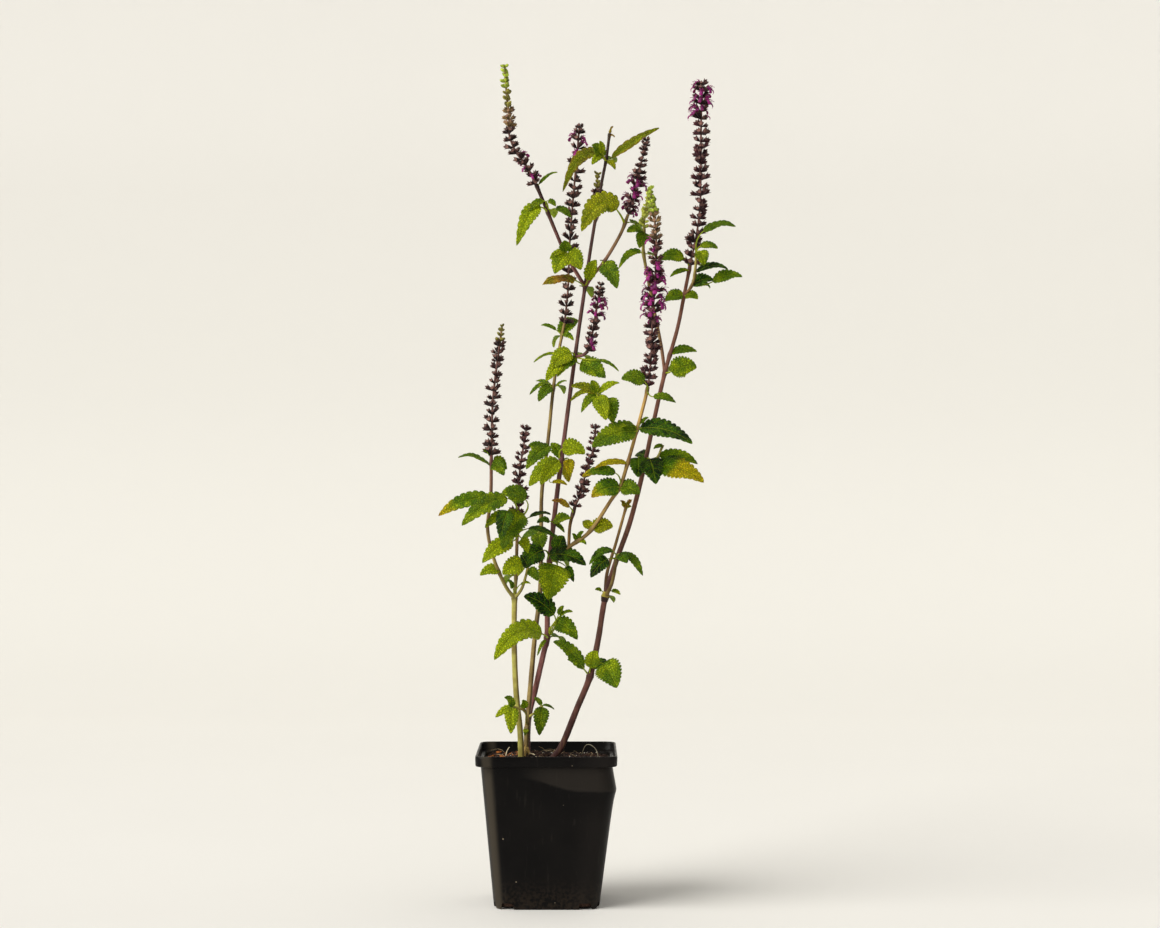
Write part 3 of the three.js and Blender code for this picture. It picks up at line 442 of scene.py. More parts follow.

# %% [markdown]
# ## The pot's plastic
# Thin black plastic with a satin shine. A painted highlight lies on the rounded left corner, where
# the key light gleams on it, and the front grows a little paler towards the right. Above the crease,
# bending has whitened it and a painted highlight adds to that, and painted shade lies deep black just
# below. Faint upright scuffs, some dirt at the foot and a few specks of dust finish it. Each is a
# mask, laid over the last colour in turn.

# %% Pot plastic
SPECK_CHANCE = 0.015
plastic, tree, shader = new_material("black_plastic", IOR=1.47, Specular_IOR_Level=0.1)
place = object_place(tree)
spot = split(tree, place)
patches = mottled(tree, 28.0, 0.25)
specks = put(tree, "ShaderNodeTexVoronoi", {"Vector": place, "Scale": 300.0})
lottery = put(tree, "ShaderNodeSeparateColor", {0: specks.outputs["Color"]}).outputs["Red"]
dust = times(tree, ramp(tree, specks.outputs["Distance"], 0.2, 0.1),
             calc(tree, "GREATER_THAN", lottery, 1 - SPECK_CHANCE))
stretched = put(tree, "ShaderNodeMapping", {"Vector": place, "Scale": (90.0, 90.0, 8.0)})
streaks = put(tree, "ShaderNodeTexNoise", {"Vector": stretched.outputs[0], "Scale": 4.0, "Detail": 5.0})
scuffs = ramp(tree, streaks.outputs["Fac"], 0.6, 0.72)
foot_dirt = times(tree, ramp(tree, spot["Z"], 0.03, 0.0), mottled(tree, 420.0, 0.12))

# The crease falls to the right, and "bent" is the stretch of the front that it crosses.
crease = ramp(tree, spot["X"], CREASE_LEFT * MM, CREASE_RIGHT * MM,
              (CREASE_LOW + CREASE_RISE) * MM, CREASE_LOW * MM)
crease_line = calc(tree, "SUBTRACT", spot["Z"], crease)
bent = times(tree, ramp(tree, spot["X"], -0.024, 0.004), ramp(tree, spot["Y"], -0.03, -0.045))
# Bending whitens the plastic above the crease, and a painted highlight is laid on the same place, where the
# bent wall faces up into the light.
whitening_and_highlight = times(tree, bent, ramp(tree, crease_line, -0.0012, 0.0015), ramp(tree, spot["Z"], 0.113, 0.109))
# Painted shade: a deep black band just under the crease.
painted_crease_shade = times(tree, bent, ramp(tree, crease_line, 0.0, -0.0012), ramp(tree, crease_line, -0.03, -0.004))

# From -1 at the left corner to 1 at the right one, whatever the height.
wall_slope = (SHOULDER_HALF - BASE_HALF) / SHOULDER
half_here = calc(tree, "MULTIPLY_ADD", spot["Z"], wall_slope, BASE_HALF * MM)
sideways = calc(tree, "DIVIDE", spot["X"], half_here)
# Painted highlight: the key light's gleam on the rounded left corner, laid on as paler colour.
painted_corner_highlight = times(tree, ramp(tree, sideways, -1.0, -0.92), ramp(tree, sideways, -0.78, -0.88))

film = blend(tree, patches, srgb(6, 5, 5), srgb(13, 11, 10))
for share, mask, colour in (
        (1.0, ramp(tree, sideways, 0.3, 1.0), srgb(25, 22, 20)), (0.8, painted_corner_highlight, srgb(62, 56, 47)),
        (0.7, painted_crease_shade, srgb(6, 5, 5)), (0.75, whitening_and_highlight, srgb(40, 36, 32)), (0.3, scuffs, srgb(44, 40, 36)),
        (0.35, foot_dirt, srgb(58, 48, 38)), (1.0, dust, srgb(140, 128, 108))):
    film = blend(tree, times(tree, mask, share), film, colour)
feed(tree, film, shader["Base Color"])
rough = calc(tree, "MULTIPLY_ADD", patches, 0.12, 0.3)
feed(tree, calc(tree, "MULTIPLY_ADD", dust, 0.3, rough), shader["Roughness"])
roughen(tree, shader, 1400.0, 0.00015, 0.25)
finish_piece("nursery_pot_body", pot_cut, ["nursery_pot"], plastic)

# %% [markdown]
# ## Peat
# Moist maroon-brown peat, a little heaped at the stems. The bed is a closed skin whose top follows
# several sizes of noise. Crumbs, bark chips, perlite and fibres are scattered on it by one Geometry
# Nodes tree, run once for each kind of litter with its own sizes and seed.

# %% Peat bed
PEAT_LEVEL, PEAT_CLEAR, PEAT_EDGE_DROP, PEAT_ROUNDS = 110.6, 0.3, 1.5, 44
HEAP, HEAP_X, HEAP_Y, HEAP_REACH = 5.5, -6, 1, 22


def peat_height(x, y):
    heap = HEAP * math.exp(-((x - HEAP_X) ** 2 + (y - HEAP_Y) ** 2) / HEAP_REACH ** 2)
    spot = Vector((x, y, 3.0))
    lumps = 1.6 * noise.noise(spot * 0.09) + 1.1 * noise.noise(spot * 0.24) + 0.5 * noise.noise(spot * 0.6)
    return PEAT_LEVEL + heap + lumps


def peat_half(height):
    return body_half(height) - POT_WALL - PEAT_CLEAR


peat_corner = CORNER - 1
side_levels = (POT_FLOOR + PEAT_CLEAR, 40, 80, 104)
peat_points = []
for z in side_levels:
    peat_points += rounded_square(peat_half(z), z, peat_corner, 1)
for k in range(PEAT_ROUNDS):
    share = 1 - k / PEAT_ROUNDS
    drop = PEAT_EDGE_DROP if k == 0 else 0
    for x, y, _ in rounded_square(peat_half(110) * share, 110, peat_corner * share):
        peat_points.append((x, y, (peat_height(x / MM, y / MM) - drop) * MM))
peat_mesh = plain_mesh("peat_bed", peat_points, ring_faces(len(side_levels) + PEAT_ROUNDS, per_ring))

peat, tree, shader = new_material("moist_peat", Specular_IOR_Level=0.25, Roughness=0.92)
earth = blend(tree, mottled(tree, 160.0, 0.2), srgb(26, 17, 13), srgb(60, 40, 30))
crumbs = times(tree, mottled(tree, 900.0, 0.15), 0.5)
feed(tree, blend(tree, crumbs, earth, srgb(78, 54, 40)), shader["Base Color"])
roughen(tree, shader, 700.0, 0.0012, 0.9)
finish_piece("peat_surface", peat_mesh, ["potting_soil"], peat)

# %% Litter tree
# Litter lies where the bed's skin is higher than TOP_ABOVE, tilted and turned by up to these angles.
TOP_ABOVE, TILT, TURN = 108.5, 0.7, 6.28
litter, given = geometry_tree("litter", {
    "Shape": "Object", "Number": "Float", "Smallest": "Float", "Largest": "Float", "Lift": "Float",
    "Rightmost": "Float", "Reach": "Float", "Seed": "Int", "Finish": "Material"})
spots = put(litter, "GeometryNodeDistributePointsOnFaces",
            {"Mesh": given["Geometry"], "Density": given["Number"], "Seed": given["Seed"]})
at = split(litter, put(litter, "GeometryNodeInputPosition").outputs[0])
outmost = calc(litter, "MAXIMUM", calc(litter, "ABSOLUTE", at["X"]), calc(litter, "ABSOLUTE", at["Y"]))
on_top = times(litter, calc(litter, "GREATER_THAN", at["Z"], TOP_ABOVE * MM),
               calc(litter, "LESS_THAN", at["X"], given["Rightmost"]),
               calc(litter, "LESS_THAN", outmost, given["Reach"]))
lifted = put(litter, "ShaderNodeCombineXYZ", {"Z": given["Lift"]})
raised = put(litter, "GeometryNodeSetPosition",
             {"Geometry": spots.outputs["Points"], "Offset": lifted.outputs[0]})
turn = put(litter, "FunctionNodeRandomValue", {
    "Min": (-TILT, -TILT, 0.0), "Max": (TILT, TILT, TURN), "Seed": given["Seed"]},
    data_type="FLOAT_VECTOR")
size = put(litter, "FunctionNodeRandomValue",
           {2: given["Smallest"], 3: given["Largest"], "Seed": given["Seed"]}, data_type="FLOAT")
shape = put(litter, "GeometryNodeObjectInfo", {"Object": given["Shape"]})
laid = put(litter, "GeometryNodeInstanceOnPoints", {
    "Points": raised.outputs[0], "Selection": on_top, "Instance": shape.outputs["Geometry"],
    "Rotation": turn.outputs[0], "Scale": size.outputs[1]})
end_tree(litter, laid.outputs[0], given["Finish"])
print("litter tree:", len(litter.nodes), "nodes")


# %% Litter shapes
def chip_shape(name, sides, width, height, seed):
    """A broken flake: an uneven prism about one unit long."""
    chance = random.Random(seed)
    ring = [(math.cos(2 * math.pi * k / sides) * chance.uniform(0.35, 0.55),
             math.sin(2 * math.pi * k / sides) * width * chance.uniform(0.7, 1.1)) for k in range(sides)]
    points = []
    for z, inset in ((-height, 0.75), (-height / 3, 1.0), (height / 2, 0.95), (height, 0.6)):
        points += [(x * inset, y * inset, z * chance.uniform(0.7, 1.2)) for x, y in ring]
    return pattern_object(name, points, ring_faces(4, sides))


def fibre_shape(name, rings, thick, bend, seed):
    """A thin curled thread, one unit long."""
    chance = random.Random(seed)
    points = []
    for k in range(rings):
        s = k / (rings - 1)
        wander = 0.05 * chance.uniform(-1, 1)
        middle = Vector((s - 0.5, bend * math.sin(3.1 * s) + wander, 0.16 * math.sin(2.6 * s)))
        radius = thick * (1 - 0.6 * s)
        for corner in range(3):
            angle = corner * math.tau / 3
            points.append(tuple(middle + Vector((0, math.cos(angle), math.sin(angle))) * radius))
    return pattern_object(name, points, ring_faces(rings, 3))


def litter_material(name, low, high, scale):
    material, tree, shader = new_material(name, Roughness=0.9, Specular_IOR_Level=0.3)
    feed(tree, blend(tree, mottled(tree, scale, 0.2), srgb(*low), srgb(*high)), shader["Base Color"])
    roughen(tree, shader, 1600.0, 0.0004, 0.6)
    return material


crumb = chip_shape("peat_crumb", 6, 0.45, 0.34, 3)
flake = chip_shape("bark_flake", 7, 0.32, 0.09, 8)
pearl = chip_shape("perlite_grain", 6, 0.42, 0.4, 11)
thread = fibre_shape("root_thread", 9, 0.018, 0.22, 5)
print("litter shapes:", crumb.name, flake.name, pearl.name, thread.name)

# %% Scatter the litter
# Name, shape, number on a square metre, smallest and largest size, lift, the right edge of its
# patch, seed, then its material: name, darkest and palest colour, and scale of the mottle.
LITTER = [
    ("peat_crumbs", crumb, 260000, 1.2, 3.4, 0.3, 60, 4,
     "crumbled_peat", (22, 14, 11), (66, 43, 32), 210),
    ("bark_flakes", flake, 12000, 3.0, 7.5, 1.4, -24, 9,
     "pine_bark", (96, 48, 18), (190, 112, 46), 320),
    ("bark_bits", flake, 5000, 1.6, 3.6, 1.0, 60, 12,
     "dark_bark", (58, 32, 20), (138, 84, 46), 320),
    ("perlite_grains", pearl, 3600, 1.0, 2.0, 1.0, 60, 21,
     "white_perlite", (205, 198, 182), (240, 236, 224), 500),
    ("root_fibres", thread, 5000, 6.0, 15.0, 1.6, 60, 33,
     "pale_fibre", (150, 118, 78), (214, 196, 160), 300),
]
WALL_INSIDE = 50
for name, shape_object, number, smallest, largest, lift, rightmost, seed, *finish in LITTER:
    mesh = grow(peat_mesh.copy(), litter, {
        "Shape": shape_object, "Number": float(number), "Smallest": smallest * MM, "Largest": largest * MM,
        "Lift": lift * MM, "Rightmost": rightmost * MM, "Reach": (WALL_INSIDE - largest / 2) * MM,
        "Seed": seed, "Finish": litter_material(*finish)})
    finish_piece(name, mesh, ["potting_soil"])

# %% [markdown]
# ## Where things stand on the plant
# Places are noted as in the part's source: x and z as seen from the front, in millimetres, and y as
# a share of the depth. Stems are spread to twice that depth, and leaves follow the stem they leave.
# Each stem line is a few points with a radius at both ends and the colour of its bark at both ends.

# %% Seen places and smooth lines
STEM_DEPTH, LEAF_DEPTH = 2, 1.25


def seen(x, y, z):
    """Where a thing at depth y stands, if the lens sees it at x and z."""
    scale = 1 + y / EYE_AWAY
    return Vector((EYE_X + (x - EYE_X) * scale, y, EYE_Z + (z - EYE_Z) * scale))


def stem_point(place):
    return seen(place[0], place[1] * STEM_DEPTH, place[2])


def smooth_line(places, step=2.0):
    """Points every step millimetres along a Catmull-Rom curve through the places."""
    p = [stem_point(place) for place in places]
    p = [2 * p[0] - p[1]] + p + [2 * p[-1] - p[-2]]
    points = []
    for i in range(1, len(p) - 2):
        count = max(2, round((p[i + 1] - p[i]).length / step))
        for k in range(count):
            t = k / count
            points.append(0.5 * (2 * p[i] + t * (p[i + 1] - p[i - 1])
                                 + t * t * (2 * p[i - 1] - 5 * p[i] + 4 * p[i + 1] - p[i + 2])
                                 + t ** 3 * (3 * p[i] - p[i - 1] - 3 * p[i + 1] + p[i + 2])))
    return points + [p[-2]]


# %% Bark colours
GREEN_BARK, OLIVE_BARK, MAUVE_BARK = (164, 162, 84), (124, 108, 60), (138, 92, 92)
MAROON_BARK, TAN_BARK, DARK_BARK, BROWN_BARK = (58, 27, 27), (164, 134, 78), (44, 26, 24), (126, 86, 72)
COLLAR, PALE_ROOT, WHITE_ROOT, GREY_ROOT = (176, 166, 64), (200, 178, 104), (196, 190, 164), (132, 130, 112)

# %% Stem lines
LEFT_LINES = [
    ([(-20.5, -6, 92), (-21, -7, 130), (-24.5, -9, 166), (-26, -12, 205), (-25.7, -14, 239)], 2.6, 2.3,
      GREEN_BARK, GREEN_BARK),
    ([(-25.7, -14, 239), (-33, -15, 249), (-42, -17, 270), (-47, -18, 294), (-44.5, -18, 318),
      (-44, -18, 352)], 1.6, 1.4, GREEN_BARK, MAUVE_BARK),
    ([(-25.7, -14, 239), (-24.5, -14, 257), (-23.7, -14, 285), (-23, -14, 305)], 1.6, 1.4, GREEN_BARK,
      MAUVE_BARK),
    ([(-25.7, -14, 239), (-19.8, -16, 247), (-15, -17, 263)], 1.3, 1, GREEN_BARK, GREEN_BARK),
]
SECOND_LINES = [
    ([(-17, -1, 92), (-16, 0, 131), (-13.4, 3, 166), (-9.5, 7, 210), (-5.5, 10, 245), (-4.7, 13, 293),
      (-4, 14, 324), (0.8, 15, 364), (5, 16, 405), (9.5, 16, 435), (13.8, 16, 456)], 2.3, 1.2,
      OLIVE_BARK, OLIVE_BARK),
    ([(-15, 1, 145), (-9, -1, 149), (-4, -2, 154)], 1.1, 1, GREEN_BARK, GREEN_BARK),
    ([(-16, 0, 140), (-17.5, -13, 150), (-27, -15, 153)], 1.1, 1, GREEN_BARK, GREEN_BARK),
    ([(-18.6, -2.5, 123), (-20.5, -4, 117), (-24, -5, 110)], 1.5, 0.8, PALE_ROOT, PALE_ROOT),
    ([(-17.4, -2.5, 122), (-17.6, -4.4, 116), (-17, -6, 109)], 1.5, 0.9, PALE_ROOT, PALE_ROOT),
    ([(-15.8, -1, 121), (-13.4, -3, 115), (-11, -4.4, 109)], 1.3, 0.7, PALE_ROOT, PALE_ROOT),
    ([(-19.5, -3.5, 120), (-20.4, -6, 113), (-21, -8, 107)], 1.2, 0.7, PALE_ROOT, WHITE_ROOT),
    ([(-14, -4, 116.5), (-10, -6, 115.4), (-5.5, -8, 109)], 0.55, 0.4, WHITE_ROOT, WHITE_ROOT),
    ([(-22, -4, 113), (-28, -6, 111.5), (-34, -7, 107)], 0.55, 0.4, WHITE_ROOT, WHITE_ROOT),
    ([(-33, 4, 112), (-31.5, 5, 118.5), (-29.5, 5, 121.4)], 0.5, 0.35, WHITE_ROOT, WHITE_ROOT),
]
TALL_LINES = [
    ([(-15.5, 6.5, 92), (-15, 7.5, 140), (-9.5, 7, 166), (-2.4, 5, 197), (0, 3, 208), (0.8, 0, 253),
      (6.3, -2, 308), (13.4, -3, 364), (22, -3, 429), (30, -2, 485), (35.5, 0, 522), (43.5, 1, 569),
      (46.6, 1, 585), (49.4, 1, 606)], 2.7, 1.2, MAUVE_BARK, DARK_BARK),
    ([(30, -2, 485), (22, -5, 498), (14, -7, 512), (7, -8, 528), (0.8, -8, 543), (-8.7, -8, 566)], 1.5,
      1.4, MAUVE_BARK, DARK_BARK),
    ([(30, -2, 485), (37, -3, 495), (45, -4, 504.6), (57.7, -5, 526), (64, -5, 542)], 1.5, 1.4,
      MAUVE_BARK, OLIVE_BARK),
    ([(22, -3, 429.5), (28.4, -5, 431), (32, -6, 434)], 1.3, 1.4, MAUVE_BARK, DARK_BARK),
    ([(38, 0.5, 536), (40, 6, 541), (40.3, 10, 549)], 1.2, 1.4, MAUVE_BARK, GREEN_BARK),
    ([(1.6, -0.5, 267.6), (18, -5, 280), (34, -7, 292), (50.6, -9, 316.6), (57.7, -10, 327),
      (64, -11, 347), (71, -12, 372), (77.4, -15, 396), (79.6, -16, 406)], 1.7, 1.4, OLIVE_BARK,
      TAN_BARK),
    ([(71, -12, 372), (55, -13, 373), (49, -12, 384), (39.5, -12, 400)], 1.2, 1, TAN_BARK, GREEN_BARK),
    ([(17, -4.6, 279.5), (18.2, -5, 297), (22, -5, 311)], 1.2, 1.4, TAN_BARK, MAROON_BARK),
]
RIGHT_LINES = [
    ([(-6, -3, 92), (4.7, -4, 112.7), (11.9, -4, 123), (23.7, -4, 152), (34, -4, 177.5),
      (40.3, -4, 206), (45.8, -3, 239), (54.5, -2, 268), (64, 0, 294.4), (70.3, 1, 316.6),
      (77.4, 2, 346), (83.7, 3, 376), (93, 3, 417), (102.7, 3, 451), (108.2, 3, 478), (113, 3, 502)], 3,
      1.5, MAROON_BARK, BROWN_BARK),
    ([(45.8, -3, 239), (47.4, 4, 259), (54.5, 6, 283), (62.4, 7, 311)], 1.6, 1.2, MAROON_BARK,
      TAN_BARK),
    ([(45.8, -3, 239), (51.5, -8, 252), (55.3, -10, 272)], 1.5, 1.2, OLIVE_BARK, OLIVE_BARK),
    ([(93, 3, 417), (90, 7, 439), (86, 9, 459), (81.4, 10, 482.5), (76.5, 11, 509), (76, 11, 518),
      (76.6, 11, 532)], 1.4, 1.3, BROWN_BARK, GREEN_BARK),
    ([(108.2, 3, 478), (113.8, 0, 485), (116.5, -3, 494), (118, -4, 511)], 1.2, 1, BROWN_BARK,
      GREEN_BARK),
    ([(77.4, 2, 346), (86, -2, 349), (91.6, -3, 360)], 1, 0.9, GREEN_BARK, GREEN_BARK),
    ([(45.1, -3, 236.2), (45.9, -3, 240.2)], 2.9, 3.0, DARK_BARK, DARK_BARK),
    ([(45.9, -3, 240), (46.9, -3, 244)], 3.1, 2.7, COLLAR, COLLAR),
    ([(27, 17, 114), (30.5, 14, 122.6), (35, 11, 122.8), (39.4, 6, 118), (41, 3, 109)], 0.42, 0.34,
      GREY_ROOT, GREY_ROOT),
]
print("stem lines:", sum(len(lines) for lines in (LEFT_LINES, SECOND_LINES, TALL_LINES, RIGHT_LINES)))

# %% [markdown]
# ## Stems
# The mint family has square stems, with a swollen node wherever leaves leave in pairs. Each plant's
# lines become a guide of edges that carries the thickness and the bark colour of every point. A
# Geometry Nodes tree sweeps a soft square along it, so every branch gets the same section, and the
# colours travel with the points. The bark's side that faces right, away from the key light, is
# painted darker as shade.

# %% Guide of a plant's lines
NODE_SWELL, NODE_REACH, NODE_SHADE = 0.3, 2.6, 0.35


def carry(mesh, name, kind, values):
    """Stores one value for each point of a mesh."""
    attribute = mesh.attributes.new(name, kind, "POINT")
    key = "value" if kind == "FLOAT" else "color"
    for k, value in enumerate(values):
        setattr(attribute.data[k], key, value)


def guide_mesh(name, lines):
    """Edges through each line's points, which carry thickness and bark colour."""
    points, edges, girths, skins = [], [], [], []
    for line_points, line_girths, line_skins in lines:
        start = len(points)
        points += [tuple(point * MM) for point in line_points]
        edges += [(start + k, start + k + 1) for k in range(len(line_points) - 1)]
        girths += [girth * MM for girth in line_girths]
        skins += line_skins
    mesh = bpy.data.meshes.new(name)
    mesh.from_pydata(points, edges, [])
    carry(mesh, "girth", "FLOAT", girths)
    carry(mesh, "skin", "FLOAT_COLOR", skins)
    return mesh


def stem_line(route, start_radius, end_radius, low_bark, high_bark, nodes):
    """One stem: its radius swells and its bark darkens at each node."""
    points = smooth_line(route)
    girths, skins = [], []
    low, high = srgb(*low_bark), srgb(*high_bark)
    for k, point in enumerate(points):
        s = k / (len(points) - 1)
        swell = max([math.exp(-((point - node).length / NODE_REACH) ** 2) for node in nodes] + [0])
        wobble = 0.06 * noise.noise(point * 0.11)
        girths.append((start_radius + (end_radius - start_radius) * s) * (1 + NODE_SWELL * swell + wobble))
        shade = 1 - NODE_SHADE * swell + 0.5 * noise.noise(point * 0.05)
        skins.append(tuple((low[c] + (high[c] - low[c]) * s) * shade for c in range(3)) + (1.0,))
    return points, girths, skins


# %% Square stem tree
SECTION_SIDE, SECTION_SOFTNESS = 1.72, 0.5


def named(tree, name, kind="FLOAT"):
    """A value that the guide mesh carries."""
    return put(tree, "GeometryNodeInputNamedAttribute", {"Name": name}, data_type=kind).outputs[0]


square_stem, given = geometry_tree("square_stem", {
    "Side": "Float", "Softness": "Float", "Finish": "Material"})
line = put(square_stem, "GeometryNodeMeshToCurve", {"Mesh": given["Geometry"]})
section = put(square_stem, "GeometryNodeCurvePrimitiveQuadrilateral",
              {"Width": given["Side"], "Height": given["Side"]})
soft = put(square_stem, "GeometryNodeFilletCurve",
           {"Curve": section.outputs[0], "Count": 3, "Radius": given["Softness"]}, mode="POLY")
swept = put(square_stem, "GeometryNodeCurveToMesh", {
    "Curve": line.outputs[0], "Profile Curve": soft.outputs[0], "Scale": named(square_stem, "girth"),
    "Fill Caps": True})
smooth = put(square_stem, "GeometryNodeSetShadeSmooth", {"Geometry": swept.outputs[0]})
end_tree(square_stem, smooth.outputs[0], given["Finish"])
print("stem tree:", len(square_stem.nodes), "nodes")


# %% Bark
def carried(tree, name, output="Color"):
    """A colour or a number that the mesh itself carries."""
    return put(tree, "ShaderNodeAttribute", attribute_name=name).outputs[output]


def tinted(tree, colour, mask, dark, bright):
    """A colour times a tint that goes from dark to bright with the mask."""
    return blend(tree, 1.0, colour, blend(tree, mask, dark, bright), "MULTIPLY")


bark, tree, shader = new_material("stem_bark", Roughness=0.55, Specular_IOR_Level=0.22, Sheen_Weight=0.04)
long_grain = put(tree, "ShaderNodeMapping", {"Vector": object_place(tree), "Scale": (900.0, 900.0, 60.0)})
fibre = put(tree, "ShaderNodeTexNoise", {"Vector": long_grain.outputs[0], "Scale": 1.0, "Detail": 3.0})
blotch = mottled(tree, 90.0, 0.2)
shade = tinted(tree, carried(tree, "skin"), blotch, (0.62, 0.5, 0.45, 1), (1.35, 1.3, 1.2, 1))
# Painted shade: the side of each stem that faces right, away from the key light, is darkened and reddened.
facing = split(tree, put(tree, "ShaderNodeTexCoord").outputs["Normal"])["X"]
uneven = calc(tree, "MULTIPLY_ADD", blotch, 0.5, -0.25)
painted_shade_right = times(tree, ramp(tree, calc(tree, "ADD", facing, uneven), -0.1, 0.7), 0.8)
shade = blend(tree, painted_shade_right, shade, blend(tree, 1.0, shade, (0.42, 0.3, 0.3, 1), "MULTIPLY"))
streak = times(tree, ramp(tree, fibre.outputs["Fac"], 0.5, 0.72), 0.1)
feed(tree, blend(tree, streak, shade, srgb(196, 170, 110)), shader["Base Color"])
ribs = put(tree, "ShaderNodeBump", {"Strength": 0.35, "Distance": 0.0003, "Height": fibre.outputs["Fac"]})
feed(tree, ribs.outputs[0], shader["Normal"])
print("bark:", len(tree.nodes), "nodes")

# %% [markdown]
# ## Leaf rows
# Leaves leave a stem in tufts at its nodes, so each tuft first gives its place on the stem. Then
# come its leaves: the blade's start, its tip, its width and its turn, and, where it isn't the usual
# one, its tone and how far it arches. The nodes of the stems swell at the same places.

# %% Left plant's leaves
LEFT_TUFTS = [
    ((-44, -18, 346), [
        (-46, -19, 342, -70, -28, 352, 7, 30), (-42, -20, 345, -34, -27, 337, 10, 75),
        (-40, -17, 350, -31, -12, 341, 9, 60), (-45.5, -18, 352, -50, -22, 356, 4, 40)]),
    ((-44.5, -18, 318), [
        (-43, -21, 316, -86, -30, 305.5, 12, 62, "t"), (-48, -12, 317, -60, -4, 316, 6, 35)]),
    ((-23.3, -14, 300), [
        (-17, -22, 317, -35, -27, 323, 13, 72), (-31.5, -24, 318, -67.5, -36, 297.5, 14, 62),
        (-31, -27, 308, -37, -37, 286, 12, 72, "d"), (-19, -18, 306, -36, -30, 279, 17, 66),
        (-33, -17, 306, -49, -24, 295, 8, 60, "b"), (-14, -15, 303, 3, -17, 306, 5, 30, "d"),
        (-27, -9, 304, -38, 4, 296, 10, 30, "d")]),
    ((-23.8, -14, 290), [
        (-15, -16, 294, 8, -18, 287, 6, 35, "d"), (-20, -17, 286, -15, -22, 275, 8, 75, "b"),
        (-27, -20, 284, -51.5, -27, 267.5, 13, 62, "b")]),
    ((-38, -16, 260), [(-37, -17, 263, -53, -22, 258, 9, 58, "b")]),
    ((-24.6, -14, 256), [
        (-19, -20, 266, -35, -25, 258, 14, 68, "b"), (-27, -10, 258, -34, 4, 250, 9, 25)]),
    ((-25.7, -14, 240), [(-27, -17, 247, -31, -22, 253, 5, 50), (-21, -17, 250, -13, -21, 251, 3, 40)]),
    ((-15, -17, 262), [
        (-14, -17, 264, -21, -20, 273, 7, 60, "d"), (-14, -17, 262, -7, -20, 253, 8, 60)]),
]
print("left plant: tufts", len(LEFT_TUFTS))

# %% Second plant's leaves
SECOND_TUFTS = [
    ((-27, -15, 153), [
        (-28.5, -16, 152, -28.5, -21, 132, 10, 80, "b"), (-29, -15, 152, -41, -14, 145, 6, 55, "b"),
        (-26, -16, 154, -33, -20, 161, 7, 50)]),
    ((-17.5, -13, 150), [(-17.5, -13, 154, -19, -17, 158, 6, 60)]),
    ((-4, -2, 154), [
        (-3, -3, 152, -6.3, -9, 131, 11, 80), (-3, -2, 155, 6, -1, 151.5, 3, 30),
        (-5, -1, 155, -10, 3, 161, 4, 40)]),
    ((-4.7, 12.8, 290), [
        (-7, 7, 290, -5, 2, 277, 12, 80), (-1, 17, 291, 8, 29, 284, 10, 30, "d"),
        (-9, 15, 291, -22, 22, 285, 9, 40)]),
    ((0, 15, 356), [
        (2, 10, 359, -17, 3, 342, 12, 55), (-5, 13, 357, -15, 9, 359, 8, 60),
        (-3, 19, 355, -12, 31, 346, 12, 20), (3, 19, 355, 10, 30, 350, 9, 20)]),
    ((5, 16, 405), [
        (1, 13, 407, -7, 7, 395, 9, 60), (8, 20, 407, 14, 31, 401, 8, 20),
        (-1, 14, 409, -14, 10, 400, 4, 40), (1, 18, 408, -9, 23, 411, 4, 40),
        (9, 15, 408, 15.5, 12, 411, 3, 40)]),
    ((11.9, 16, 447), [
        (8, 17, 450, 25, 22, 459.5, 11, 60), (14, 13, 448, 21, 9, 443, 5, 60),
        (7, 16, 451, -5, 17, 455, 4, 40), (10, 20, 446, 4, 29, 438, 7, 25)]),
    ((-15.8, 0, 135), [(-16.5, -3, 136, -17.5, -7, 131, 4, 60)]),
]
print("second plant: tufts", len(SECOND_TUFTS))

